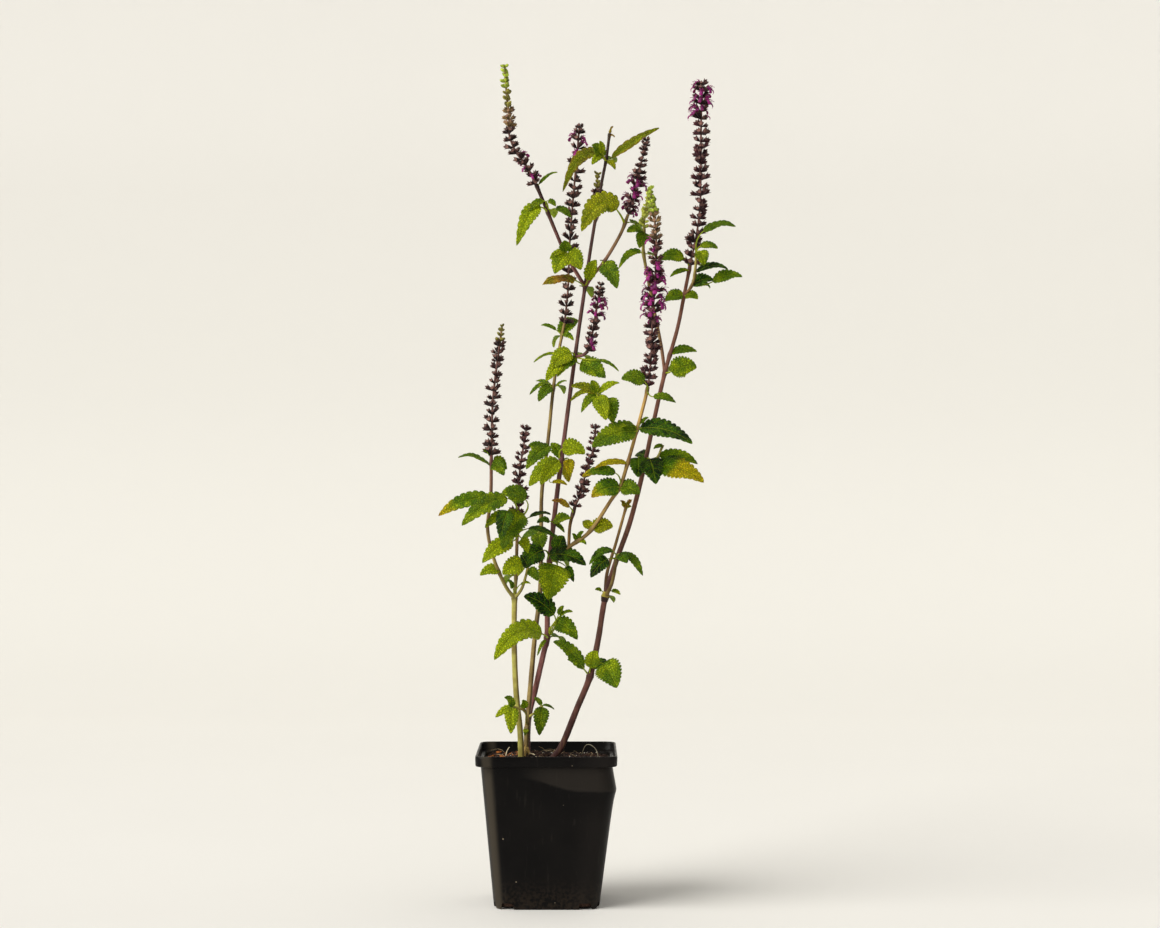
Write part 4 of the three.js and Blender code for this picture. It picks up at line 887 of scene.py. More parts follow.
# %% Tall plant's leaves
TALL_TUFTS = [
    ((0, 3, 208), [
        (-4, -12, 211, -42, -46, 193, 17, 62, "b", 0.16),
        (6, -2, 218.5, 24, -10, 207, 13, 62, "m", 0.16), (5.5, -5, 226, -18, -10, 241, 14, 62, "d"),
        (5, 8, 209, 15, 20, 203, 10, 25), (9, -5, 226, 13, -8, 233, 4, 60),
        (10, -5, 225, 20, -9, 229, 4, 40), (-2, 0, 204, -8, -4, 194, 3, 50)]),
    ((1.6, -0.5, 269), [
        (-3, -6, 277, -20, -12, 264, 16, 62, "d"), (2, -6, 273, 31, -14, 266.5, 13, 56, "d"),
        (8, -8, 265, 1, -18, 238.5, 23, 74, "b"), (15, -6, 264, 21, -10, 252, 6, 60, "d"),
        (8, -5, 276, 13, -8, 288, 12, 60, "d"), (5, 4, 270, 18, 18, 264, 12, 25, "d")]),
    ((5.5, -1.5, 299), [
        (4, -6, 299, 18.5, -11, 302, 9, 52), (2, -7, 300, -8, -12, 299, 6, 50, "d"),
        (7, -3, 297, 14, -1, 291, 4, 50)]),
    ((11, -2.8, 347), [
        (8, -6, 348, -5, -10, 329, 12, 66, "b"), (7, -1, 346, -15, 2, 328, 14, 62, "b"),
        (12, -6, 357, 30, -10, 354, 14, 60, "b"), (17, -3, 349, 18, -7, 335, 8, 70, "y"),
        (12, 1, 344, 18, 8, 330, 9, 55, "y"), (11, 2, 350, 3, 4, 362, 8, 60),
        (4, -7, 330.5, 16, -10, 329, 4, 45, "y")]),
    ((22, -3, 429.5), [
        (19, -7, 433, 3, -14, 421, 14, 62, "b"), (13, -10, 425, -1, -17, 411, 10, 66, "b"),
        (23, -7, 428, 8, -16, 415, 9, 60), (26, -7, 424, 46, -14, 413, 15, 62),
        (25, 0, 431, 34, 10, 427, 11, 25), (8, -5, 432, -11, -9, 426, 4, 30),
        (39, -11, 427, 57, -15, 419, 4, 30)]),
    ((30, -2, 485), [
        (22, -9, 490, -4, -14, 488, 9, 45, "n"), (32, -5, 490, 38.5, -9, 506, 9, 66, "b"),
        (27, 2, 485, 36, 14, 477, 10, 25)]),
    ((14.2, -7, 512), [
        (16, -10, 510, 6, -15, 496, 14, 70, "b"), (18, -10, 511, 27, -14, 499, 14, 70, "b"),
        (15, -10, 513, 14, -13, 521, 9, 70), (12, -9, 515, 2, -13, 507, 5, 50, "b")]),
    ((0.8, -8, 543), [
        (-5, -11, 548, -24, -17, 518, 12, 62, "b", 0.22), (-3, -10, 553, -15, -14, 545, 6, 55),
        (1, -10, 553, 7, -12, 549, 5, 55), (7, -8, 547, 20, -7, 540, 7, 50),
        (3, -4, 546, 6, 6, 540, 8, 25)]),
    ((45, -4, 504.6), [(44.5, -10, 503, 55.5, -20, 485, 13, 72), (46, 3, 505, 50, 15, 500, 10, 30)]),
    ((61, -5, 535), [
        (55, -11, 546, 27, -17, 529, 18, 60, "o", 0.36), (66, -2, 536, 76, 6, 530, 9, 35)]),
    ((46.6, 1, 585), [
        (43, -1, 588, 11, -5, 561, 11, 50, "k", 0.32), (44, -4, 587, 36, -10, 597, 10, 62),
        (42, -6, 588, 35.5, -12, 582, 6, 70, "b"), (44, -6, 590, 42, -10, 600, 5, 55, "b"),
        (50, -2, 584, 54, -6, 578, 5, 60, "o"), (51, 4, 587, 88, 7, 612, 8, 45, "k", 0.02),
        (48, 5, 587, 55, 16, 584, 8, 25)]),
    ((35, -7, 293), [(34, -5, 295, 28, -3, 300, 7, 60, "o"), (37, -6, 295, 52, -8, 296, 12, 66, "o")]),
    ((20.5, -5, 306), [(18, -9, 311, 4, -12, 317, 5, 50, "n")]),
    ((57.7, -10, 327), [
        (56, -14, 326, 35, -20, 320, 15, 62, "t"), (59, -13, 325, 73, -17, 322, 13, 60),
        (54, -14, 338, 27, -16, 336, 8, 62, "t"), (57, -4, 327, 50, 7, 321, 10, 25, "t")]),
    ((63.5, -11, 345), [(62, -13, 346, 37, -16, 342, 6, 45, "y")]),
    ((71, -12, 372), [
        (70, -16, 369, 35.5, -22, 359, 17, 66), (75, -15, 374, 115, -22, 362, 16, 50, "d"),
        (68, -15, 376, 57, -19, 374, 5, 50), (74, -14, 377, 80, -15, 382, 3, 50),
        (72, -6, 372, 64, 4, 366, 9, 25)]),
    ((40, -12, 399), [
        (39, -14, 398, 27, -20, 386, 7, 55, "m", 0.2), (40, -17, 398, 46.5, -23, 380, 12, 72, "b"),
        (48, -14, 397, 52, -19, 377.5, 13, 74), (36, -14, 402, 18, -16, 395, 5, 45, "o", 0.2),
        (36, -11, 403, 19, -12, 407, 8, 50, "o"), (42, -13, 404, 57, -14, 410, 6, 50, "b"),
        (38.5, -13, 402, 35, -15, 411, 7, 62, "b"), (39, -7, 400, 36, 3, 394, 9, 25)]),
    ((79, -16, 403), [(84, -19, 398, 102, -21, 394, 7, 50), (77, -20, 410, 59, -24, 413, 12, 62)]),
    ((-7.8, -8, 564), [(-5, -9, 568, 8, -11, 576, 3.5, 40)]),
    ((49.4, 1, 605), [
        (49.2, 0, 607, 51.6, -2, 612, 2.4, 40, "n"), (49.9, 1, 605, 53.5, -1, 603.5, 2, 40, "n")]),
    ((23, -5.5, 284), [
        (23, -7, 286, 20, -9, 290, 3.5, 50), (25, -7, 287, 28.5, -9, 292, 4, 50),
        (27, -7, 285, 31, -10, 282, 4, 55)]),
]
print("tall plant: tufts", len(TALL_TUFTS))

# %% Right plant's leaves
RIGHT_TUFTS = [
    ((62.4, 7, 310), [
        (62.2, 5, 311, 66.5, 2, 317, 4, 50, "n"), (61.6, 7, 311, 58.4, 5, 316.5, 3.6, 50, "n"),
        (62.8, 5, 310, 66.5, 3, 311.5, 3, 50, "o")]),
    ((34, -4, 177.5), [
        (28.4, -7, 184, 6.3, -14, 206, 11, 52), (29, -2, 183, 16, 4, 191, 6, 25),
        (44, -8, 187.5, 55, -15, 168.5, 19, 72), (36, -1, 183, 47, 6, 191, 9, 40, "d"),
        (34, -7, 184, 39, -11, 197, 11, 78, "b")]),
    ((46, -3, 240), [
        (47, 2, 241, 53, 13, 236, 8, 30), (51, -6, 245, 58, -9, 242, 4, 45),
        (43, -4, 245, 38, -6, 246, 3.5, 45)]),
    ((55.3, -10, 270), [
        (52, -12, 276, 33, -17, 266, 7, 40, "d", 0.2), (48, -13, 270, 34.5, -20, 256, 11, 66, "d"),
        (57, -14, 274, 63, -19, 267, 9, 55, "d"), (62, -11, 274, 76, -13, 257, 7, 45, "m", 0.14)]),
    ((77.4, 2, 346), [
        (79, 7, 351, 69, 16, 352, 9, 50, "d"), (72, -3, 350, 72, -9, 335, 14, 76, "d"),
        (81, -6, 349, 86, -15, 329.5, 16, 70, "d"), (89, -4, 351, 119.5, -7, 346.5, 10, 54),
        (86, -7, 342, 124, -17, 332, 17, 62, "h"), (80, 8, 346, 92, 20, 340, 13, 25, "d")]),
    ((93, 3, 417), [(98, -1, 418, 118, -5, 421.5, 16, 68), (97, 7, 419, 109, 17, 414, 11, 25)]),
    ((97, 3, 431), [(99, 2, 434, 118.5, 1, 434.5, 8, 48)]),
    ((108.2, 3, 478), [
        (106, 1, 479, 93, -3, 474, 10, 60), (111, -1, 478, 119, -6, 476, 8, 60),
        (106, 8, 479, 99, 19, 475, 10, 25)]),
    ((114, 0, 486), [
        (116, -3, 487.5, 131, -6, 491, 11, 55, "d"), (131, -4, 489, 154, -9, 494, 10, 55),
        (117, 3, 489, 130, 11, 485, 10, 40, "d")]),
    ((116.5, -3, 495), [(119, -4, 499, 143, -10, 501, 8, 40, "d")]),
    ((117.7, -4, 510), [
        (121, -5, 517, 135, -7, 516, 7, 50), (121, -8, 513, 124, -12, 502, 10, 70),
        (123.5, -3, 529, 149, -7, 534.5, 8, 45)]),
    ((112.2, 3, 498), [
        (108, 1, 508, 89.5, -5, 507, 11, 60), (110, 0, 498, 97, -3, 493, 5, 45),
        (115, 8, 503, 124, 18, 499, 9, 30)]),
    ((76.3, 11, 511), [(72, 11, 513, 56, 9, 500, 7, 45, "m", 0.22), (80, 15, 511, 90, 23, 505, 8, 30)]),
    ((76.5, 11, 528), [(74, 9, 531, 63, 5, 529, 8, 60), (78, 9, 527, 73, 5, 516, 10, 66)]),
    ((91.6, -3, 359), [(91, -4, 360, 84, -5, 357, 4, 45)]),
]
print("right plant: tufts", len(RIGHT_TUFTS))

# %% Grow the stems
PLANTS = {"left": (LEFT_LINES, LEFT_TUFTS, "foliage"),
          "second": (SECOND_LINES, SECOND_TUFTS, "deep_foliage"),
          "tall": (TALL_LINES, TALL_TUFTS, "foliage"),
          "right": (RIGHT_LINES, RIGHT_TUFTS, "deep_foliage")}
for name, (lines, tufts, slot) in PLANTS.items():
    nodes = [stem_point(start) for start, _ in tufts]
    guide = guide_mesh(name + "_plant_stems", [stem_line(*line, nodes) for line in lines])
    mesh = grow(guide, square_stem, {"Side": SECTION_SIDE, "Softness": SECTION_SOFTNESS, "Finish": bark})
    finish_piece(name + "_plant_stems", mesh, [name + "_leafy_stem"])

# %% [markdown]
# ## Leaves
# The leaves are oval with a heart-shaped foot, round-toothed, quilted between sunken veins, and
# folded a little along the midrib. Each has its own blade here, because no two are turned or curled
# alike. A leaf is a closed thin sheet: an upper and a lower skin on one grid that follows the teeth,
# the pleats between the veins and the curl, and a stalk that joins it to the stem. Its tint is kept
# as a colour attribute: how bright, how yellow, how dry, and whether it is the underside. How bright
# is partly the leaf's own tone and partly painted light and shade, for leaves lit by the key or lying
# in shade.

# %% Leaf form
# The tone and arch of a row that gives none, and how near its stem a blade counts as short-stalked.
USUAL, SHORT_STALK = ("m", 0.1), 6
# Widths are noted as seen, and a blade that leans back looks narrower than it is.
BLADE_THICKNESS, LEANED_BACK = 0.34, 1.18
# How steeply each half rises, how high the pleats stand and how deep the notches cut, as shares of
# the width, and how far the midrib stands out below.
FOLD, PLEAT, NOTCH, RIB = 0.24, 0.09, 0.18, 0.35
# One tooth of the margin, from its notch: how far along, and how full it stands.
TOOTH = ((0.0, 0.0), (0.25, 0.75), (0.55, 1.0), (0.82, 0.8))
UP, FRONT = Vector((0, 0, 1)), Vector((0, -1, 0))


def blade_half(share):
    """Half the blade's width, as a share, from its foot at 0 to its tip at 1."""
    return math.sin(math.pi * min(0.999, max(0.001, share)) ** 0.68) ** 0.68


print("half width along a blade:", [round(blade_half(k / 8), 2) for k in range(9)])

# %% Leaf tints
# Each tone's brightness and yellowness: bright, middling, dark, olive, yellow, yellow-tipped, half
# yellow, withered, and olive with a dry margin. The brightness is partly the leaf's own tone and
# partly painted light and shade: bright for a leaf lit by the key, dark for one lying in shade.
TONES = {"b": (0.95, 0.06), "m": (0.58, 0.05), "d": (0.16, 0.0), "o": (0.62, 0.4), "y": (0.95, 0.95),
         "t": (0.5, 0.05), "h": (0.45, 0.05), "n": (0.5, 0.5), "k": (0.36, 0.3)}


def tint_share(tone, s, t, hand, phase):
    """How yellow and how dry the blade is at this place: age starts at the tip and the margin."""
    yellow, dry = TONES[tone][1], 0.0
    if tone == "t":
        yellow, dry = ease(s + 0.12 * t, 0.72, 0.95), 0.7 * ease(s, 0.92, 1.0)
    elif tone == "h":
        yellow, dry = ease(s + 0.1 * hand * t, 0.28, 0.5), 0.5 * ease(s, 0.9, 1.0) * t
    elif tone == "y":
        dry = 0.8 * ease(t, 0.75, 1.0) * (0.5 + 0.5 * math.sin(7 * s + phase))
    elif tone == "k":
        dry = 0.5 * ease(t, 0.5, 1.0)
    elif tone == "n":
        yellow, dry = 0.6, 0.75 + 0.25 * math.sin(6 * s + phase)
    return yellow, dry


# %% Closing a leaf's two skins
def add_points(sheet, points):
    """Adds points with their UVs and tints, and returns the number of the first."""
    first = len(sheet["points"])
    for point, uv, tint in points:
        sheet["points"].append(tuple(point * MM))
        sheet["uvs"].append(uv)
        sheet["tints"].append(tint)
    return first


def close_blade(sheet, upper, lower, rows, wide):
    """Faces over an upper and a lower grid of rows + 1 by wide points, and round their rim."""
    first = add_points(sheet, upper + lower)
    under = len(upper)
    for i in range(rows):
        for k in range(wide - 1):
            a = first + i * wide + k
            b = a + under
            sheet["faces"] += [(a, a + 1, a + wide + 1, a + wide), (b, b + wide, b + wide + 1, b + 1)]
    rim = [i * wide for i in range(rows + 1)] + [rows * wide + k for k in range(1, wide)]
    rim += [i * wide + wide - 1 for i in range(rows - 1, -1, -1)] + [k for k in range(wide - 2, 0, -1)]
    for k, here in enumerate(rim):
        a, b = first + here, first + rim[(k + 1) % len(rim)]
        sheet["faces"].append((a, b, b + under, a + under))


# %% Leaf stalk
STALK_RINGS, STALK_SIDES = 7, 6


def grow_stalk(sheet, root, base, middle, width, light):
    """A thin bent tube from inside the stem to just under the blade's foot."""
    bend = base - (middle - base).normalized() * (base - root).length * 0.45
    radius = 0.42 + 0.018 * width
    points = []
    for i in range(STALK_RINGS):
        s = i / (STALK_RINGS - 1)
        centre = (1 - s) ** 2 * root + 2 * s * (1 - s) * bend + s * s * (base + (middle - base) * 0.12)
        tangent = ((1 - s) * (bend - root) + s * (base - bend) + Vector((0, 0, 1e-4))).normalized()
        side = tangent.cross(Vector((0.31, 0.2, 0.93))).normalized()
        other = tangent.cross(side)
        thin = radius * (1.5 - 0.9 * s)
        for k in range(STALK_SIDES):
            angle = k * math.tau / STALK_SIDES
            points.append((centre + (side * math.cos(angle) + other * math.sin(angle)) * thin,
                           (0.5, 0.02 * s), (min(1.0, light + 0.15), 0.25, 0.12 * (1 - s), 0.6)))
    first = add_points(sheet, points)
    for face in ring_faces(STALK_RINGS, STALK_SIDES):
        sheet["faces"].append(tuple(first + k for k in reversed(face)))


# %% One leaf
def grow_leaf(sheet, start, row, chance):
    """Adds one leaf with its stalk to the sheet's points, faces, UVs and tints."""
    width, turn, tone, arch = row[6:] + USUAL[len(row) - 8:]
    root = stem_point(start)
    base, tip = (seen(x, root.y + (y - start[1]) * LEAF_DEPTH, z) for x, y, z in (row[:3], row[3:6]))
    if (base - root).length < SHORT_STALK:
        base = root.lerp(base, 0.5)
    length = (tip - base).length
    middle = base.lerp(tip, 0.5) + UP * (2 * arch * length)
    lean = math.radians(turn)
    face = UP * math.cos(lean) + FRONT * math.sin(lean)

    teeth = 11 if width >= 15 else 9 if width > 9 else 7 if width > 6 else 5
    pairs = 6 if width > 9 else 5
    columns = (0, 0.07, 0.3, 0.55, 0.8, 1) if width > 7.5 else (0, 0.12, 0.5, 1)
    stops = [(k + share) / teeth for k in range(teeth) for share, _ in TOOTH] + [1.0]
    withered = tone == "n"
    curl = chance.uniform(0.02, 0.1) + (0.22 if withered else 0)
    wave = chance.uniform(0.02, 0.06) * (2.5 if withered else 1)
    phase = chance.uniform(0, 6.28)
    twist = chance.uniform(-0.25, 0.25)
    droop = chance.uniform(0.02, 0.07) * length
    light = min(1.0, max(0.0, TONES[tone][0] + chance.uniform(-0.12, 0.12)))

    upper, lower = [], []
    for i, s in enumerate(stops):
        tooth_full = TOOTH[i % len(TOOTH)][1]
        centre = (1 - s) ** 2 * base + 2 * s * (1 - s) * middle + s * s * tip
        tangent = ((1 - s) * (middle - base) + s * (tip - middle)).normalized()
        flat = (face - tangent * face.dot(tangent)).normalized()
        across = tangent.cross(flat)
        roll = twist * (s - 0.3)
        normal = flat * math.cos(roll) + across * math.sin(roll)
        side = across * math.cos(roll) - flat * math.sin(roll)
        centre = centre - normal * (droop * ease(s, 0.55, 1.3) * 2)
        swell = math.sin(math.pi * s) ** 0.5
        for hand in (-1, 1):
            for t in (columns if hand > 0 else columns[:0:-1]):
                notch = NOTCH * (1 - tooth_full) * t ** 4 * ease(s, 0.02, 0.1)
                out = hand * t * width / 2 * LEANED_BACK * blade_half(s) * (1 - notch)
                pleat = abs(math.sin(math.pi * (s * pairs - t * 1.5 + 0.15))) ** 0.6
                lift = abs(out) * FOLD * (1.15 - 0.3 * t) - curl * width * t ** 3 * 0.5
                lift += wave * width * t * t * math.sin(9 * s + phase + hand)
                lift += PLEAT * width * swell * (pleat - 0.5) * min(1, t * 3) * (1 - 0.45 * t)
                sunk, rib = (0.2, RIB * (1 - s)) if t == 0 else (0.0, 0.0)
                point = centre + side * out + normal * (lift - sunk)
                uv = (0.5 + 0.5 * hand * t, s)
                tint = (light, *tint_share(tone, s, t, hand, phase))
                upper.append((point + normal * BLADE_THICKNESS / 2, uv, (*tint, 0.0)))
                lower.append((point - normal * (BLADE_THICKNESS / 2 + rib), uv, (*tint, 1.0)))
    close_blade(sheet, upper, lower, len(stops) - 1, 2 * len(columns) - 1)
    grow_stalk(sheet, root, base, middle, width, light)


# %% Leaf veins
VEIN_PAIRS, VEIN_SLANT = 6.0, 1.5
veins, given, result = shader_group(
    "leaf_veins", {"Pairs": VEIN_PAIRS, "Slant": VEIN_SLANT}, "Mask", "NodeSocketFloat")
where = split(veins, put(veins, "ShaderNodeUVMap", uv_map="blade").outputs[0])
across = calc(veins, "ABSOLUTE", calc(veins, "MULTIPLY_ADD", where["X"], 2.0, -1.0))
along = calc(veins, "MULTIPLY_ADD", where["Y"], given["Pairs"], 0.15)
slanted = calc(veins, "SUBTRACT", along, times(veins, across, given["Slant"]))
wave = calc(veins, "ABSOLUTE", calc(veins, "SINE", times(veins, slanted, math.pi)))
side_vein = times(veins, ramp(veins, wave, 0.22, 0.04), 0.75)
feed(veins, calc(veins, "MAXIMUM", side_vein, ramp(veins, across, 0.07, 0.02)), result)
print("vein group:", len(veins.nodes), "nodes")

# %% Leaf surface
leaf_skin, tree, shader = new_material(
    "leaf_skin", Roughness=0.55, Specular_IOR_Level=0.18, Subsurface_Weight=0.2, Subsurface_Scale=0.003,
    Subsurface_Radius=(0.7, 1.0, 0.1))
share = put(tree, "ShaderNodeSeparateColor", {0: carried(tree, "leaf_tint")}).outputs
light, yellow, dry = share["Red"], share["Green"], share["Blue"]
underside = carried(tree, "leaf_tint", "Alpha")
patches = mottled(tree, 110.0, 0.25)
vein_mask = use_group(tree, veins, Pairs=VEIN_PAIRS, Slant=VEIN_SLANT)
net = put(tree, "ShaderNodeTexVoronoi", {"Vector": object_place(tree), "Scale": 560.0},
          feature="DISTANCE_TO_EDGE")
pillow = ramp(tree, net.outputs["Distance"], 0.0, 0.26)

# Green from dark to bright, as the leaf's tone and its painted light and shade set it, with painted
# shade in the furrows between the pillows, and paler on the veins.
tone = calc(tree, "ADD", light, calc(tree, "MULTIPLY_ADD", patches, 0.56, -0.28))
green = blend(tree, ramp(tree, tone, 0.0, 0.5), srgb(20, 42, 0), srgb(80, 116, 0))
green = blend(tree, ramp(tree, tone, 0.45, 1.0), green, srgb(172, 188, 6))
painted_furrow_shade = times(tree, calc(tree, "SUBTRACT", 1.0, pillow), ramp(tree, underside, 0.0, 1.0, 0.75, 0.35))
green = blend(tree, painted_furrow_shade, green, blend(tree, 1.0, green, (0.28, 0.36, 0.2, 1), "MULTIPLY"))
green = blend(tree, times(tree, vein_mask, 0.36), green, srgb(166, 180, 40))

# Then age: yellow that spares the veins, brown where it is dry, and a greyer underside.
spared = calc(tree, "MULTIPLY_ADD", vein_mask, -0.45, 1.0)
aged = times(tree, yellow, spared, ramp(tree, patches, -0.6, 0.5))
warm = blend(tree, aged, green, blend(tree, pillow, srgb(150, 132, 4), srgb(214, 190, 10)))
withered = blend(tree, patches, srgb(92, 52, 22), srgb(176, 108, 40))
colour = blend(tree, times(tree, dry, ramp(tree, patches, -0.3, 0.4)), warm, withered)
under = blend(tree, 0.35, colour, srgb(142, 160, 60))
feed(tree, blend(tree, underside, colour, under), shader["Base Color"])
height = calc(tree, "MULTIPLY_ADD", vein_mask, -0.8, pillow)
quilt = put(tree, "ShaderNodeBump", {"Strength": ramp(tree, underside, 0.0, 1.0, 0.9, 0.35),
                                     "Distance": 0.0013, "Height": height})
feed(tree, quilt.outputs[0], shader["Normal"])
print("leaf surface:", len(tree.nodes), "nodes")

# %% Leaves of each plant
for seed, (name, (_, tufts, slot)) in enumerate(PLANTS.items(), 3):
    sheet = {"points": [], "faces": [], "uvs": [], "tints": []}
    chance = random.Random(seed)
    for start, rows in tufts:
        for row in rows:
            grow_leaf(sheet, start, row, chance)
    mesh = plain_mesh(name + "_plant_leaves", sheet["points"], sheet["faces"])
    uv_map = mesh.uv_layers.new(name="blade")
    for loop in mesh.loops:
        uv_map.data[loop.index].uv = sheet["uvs"][loop.vertex_index]
    carry(mesh, "leaf_tint", "FLOAT_COLOR", sheet["tints"])
    finish_piece(name + "_plant_leaves", mesh, [name + "_leafy_stem"], leaf_skin)
    print("  leaves:", sum(len(rows) for _, rows in tufts))

# %% [markdown]
# ## Flower spikes
# Each spike is a square rachis with close whorls. A spent flower leaves a five-toothed calyx, dark
# brown to maroon, and an open one shows a mauve corolla with one long lobed lip and fine stamens.
# One calyx, one bud and one corolla are modelled small and simple, and two trees repeat them round
# the rachis, each whorl turned between the last. The guide line has a point for every whorl, which
# carries how far its flowers reach, their colour and how many are open, so they serve every spike.

# %% Calyx and bud
CALYX_SIDES = 8
CALYX_RINGS = ((0.05, 0.06), (0.34, 0.1), (0.56, 0.19), (0.84, 0.24))
TEETH, BETWEEN_TEETH, CALYX_DEPTH = (1.14, 0.33), (0.92, 0.25), 0.62
BUD_RINGS = ((0.05, 0.08), (0.3, 0.2), (0.58, 0.27), (0.86, 0.2), (1.0, 0.05))


def circle(radius, z, count, x=0.0, y=0.0):
    """A level ring of points."""
    return [(x + radius * math.cos(k * math.tau / count), y + radius * math.sin(k * math.tau / count), z)
            for k in range(count)]


calyx_points = []
for z, radius in CALYX_RINGS:
    calyx_points += circle(radius, z, CALYX_SIDES)
lip = len(calyx_points)
for k in range(CALYX_SIDES):
    z, radius = BETWEEN_TEETH if k % 2 else TEETH
    calyx_points.append(circle(radius, z, CALYX_SIDES)[k])
throat = len(calyx_points)
calyx_points.append((0.0, 0.0, CALYX_DEPTH))
calyx_faces = ring_faces(len(CALYX_RINGS) + 1, CALYX_SIDES, cap=False)
calyx_faces.append(tuple(reversed(range(CALYX_SIDES))))
calyx_faces += [(lip + k, lip + (k + 1) % CALYX_SIDES, throat) for k in range(CALYX_SIDES)]
calyx = pattern_object("calyx", calyx_points, calyx_faces, smooth=True)
carry(calyx.data, "mouth", "FLOAT", [0.0] * lip + [0.25] * CALYX_SIDES + [1.0])

bud_points = [point for z, radius in BUD_RINGS for point in circle(radius, z, 6)]
bud = pattern_object("bud", bud_points, ring_faces(len(BUD_RINGS), 6), smooth=True)
print("calyx and bud:", len(calyx_faces), "and", len(bud.data.polygons), "faces")


# %% Corolla
LOBE_THICKNESS = 0.035


def add_tongue(points, faces, middles, widths):
    """A closed thin lobe along a few middle points, lying across the given widths."""
    first = len(points)
    for (x, y, z), width in zip(middles, widths):
        for lift in (LOBE_THICKNESS / 2, -LOBE_THICKNESS / 2):
            for hand in (-1, 0, 1):
                aside = abs(hand) * width
                points.append((x + 0.16 * aside, y + hand * width / 2, z + lift - 0.2 * aside))
    last = len(middles) - 1
    for i in range(last):
        a = first + 6 * i
        for k in (0, 1):
            faces.append((a + k, a + k + 1, a + k + 7, a + k + 6))
            faces.append((a + 3 + k, a + 9 + k, a + 10 + k, a + 4 + k))
        faces += [(a, a + 6, a + 9, a + 3), (a + 2, a + 5, a + 11, a + 8)]
    a, b = first, first + 6 * last
    faces += [(a, a + 3, a + 4, a + 1), (a + 1, a + 4, a + 5, a + 2),
              (b, b + 1, b + 4, b + 3), (b + 1, b + 2, b + 5, b + 4)]


corolla_points = circle(0.12, 0.6, 6) + circle(0.13, 0.95, 6, 0.02) + circle(0.2, 1.15, 6, 0.05)
corolla_faces = ring_faces(3, 6)
add_tongue(corolla_points, corolla_faces,
           [(0.1, 0, 1.1), (0.36, 0, 1.3), (0.62, 0, 1.28), (0.78, 0, 1.1)], [0.26, 0.4, 0.5, 0.26])
for hand in (-1, 1):
    add_tongue(corolla_points, corolla_faces,
               [(0.06, 0.12 * hand, 1.1), (0.14, 0.3 * hand, 1.26), (0.22, 0.46 * hand, 1.22)],
               [0.2, 0.26, 0.12])
    add_tongue(corolla_points, corolla_faces,
               [(-0.1, 0.08 * hand, 1.08), (-0.2, 0.16 * hand, 1.28), (-0.18, 0.22 * hand, 1.42)],
               [0.14, 0.18, 0.07])
    base = len(corolla_points)
    for x, z, radius in ((0.0, 1.0, 0.03), (-0.08, 1.34, 0.026), (0.08, 1.58, 0.03)):
        corolla_points += circle(radius, z, 3, x, 0.06 * hand)
    corolla_faces += [tuple(base + k for k in face) for face in ring_faces(3, 3)]
corolla = pattern_object("corolla", corolla_points, corolla_faces, smooth=True)
print("corolla:", len(corolla_faces), "faces")


# %% Places round the rachis
# The ranges of chance from flower to flower: its turn round the rachis, its lean and its size.
LEAN_BY_REACH = 60.0
TURN_RANGE, LEAN_RANGE, SIZE_RANGE = (-0.3, 0.3), (-0.4, 0.34), (0.8, 1.36)


def store(tree, geometry, name, value, kind, domain):
    return put(tree, "GeometryNodeStoreNamedAttribute",
               {"Geometry": geometry, "Name": name, "Value": value},
               data_type=kind, domain=domain).outputs[0]


def random_value(tree, given, low, high, extra):
    """A random number for each flower; extra sets it apart from the tree's other numbers."""
    seed = calc(tree, "ADD", given["Seed"], float(extra))
    return put(tree, "FunctionNodeRandomValue", {2: low, 3: high, "Seed": seed},
               data_type="FLOAT").outputs[1]


def turned(tree, rotation, axis, angle):
    by = put(tree, "FunctionNodeAxisAngleToRotation", {"Axis": axis, "Angle": angle})
    return put(tree, "FunctionNodeRotateRotation", {"Rotation": rotation, "Rotate By": by.outputs[0]},
               rotation_space="LOCAL").outputs[0]


def whorl_places(tree, given):
    """The rachis as a curve, and one point for each flower round it, with its rotation and its size."""
    line = put(tree, "GeometryNodeMeshToCurve", {"Mesh": given["Geometry"]}).outputs[0]
    places = put(tree, "GeometryNodeCurveToPoints", {"Curve": line}, mode="EVALUATED")
    number = put(tree, "GeometryNodeInputIndex").outputs[0]
    counted = store(tree, places.outputs["Points"], "whorl", number, "INT", "POINT")
    copies = put(tree, "GeometryNodeDuplicateElements",
                 {"Geometry": counted, "Amount": given["Ranks"]}, domain="POINT")
    reach = named(tree, "girth")
    half_turn = times(tree, calc(tree, "MODULO", named(tree, "whorl", "INT"), 2.0), 0.5)
    step = calc(tree, "ADD", calc(tree, "ADD", copies.outputs["Duplicate Index"], half_turn),
                random_value(tree, given, *TURN_RANGE, 1))
    angle = times(tree, calc(tree, "DIVIDE", step, given["Ranks"]), math.tau)
    round_stem = turned(tree, places.outputs["Rotation"], (0, 0, 1), angle)
    lean = calc(tree, "ADD", calc(tree, "MULTIPLY_ADD", reach, LEAN_BY_REACH, given["Lean"]),
                random_value(tree, given, *LEAN_RANGE, 2))
    size = times(tree, reach, random_value(tree, given, *SIZE_RANGE, 3))
    return line, copies.outputs["Geometry"], turned(tree, round_stem, (0, 1, 0), lean), size


def set_flowers(tree, shape, places, chosen, aim, size):
    flower = put(tree, "GeometryNodeObjectInfo", {"Object": shape})
    return put(tree, "GeometryNodeInstanceOnPoints", {
        "Points": places, "Selection": chosen, "Instance": flower.outputs["Geometry"],
        "Rotation": aim, "Scale": size}).outputs[0]


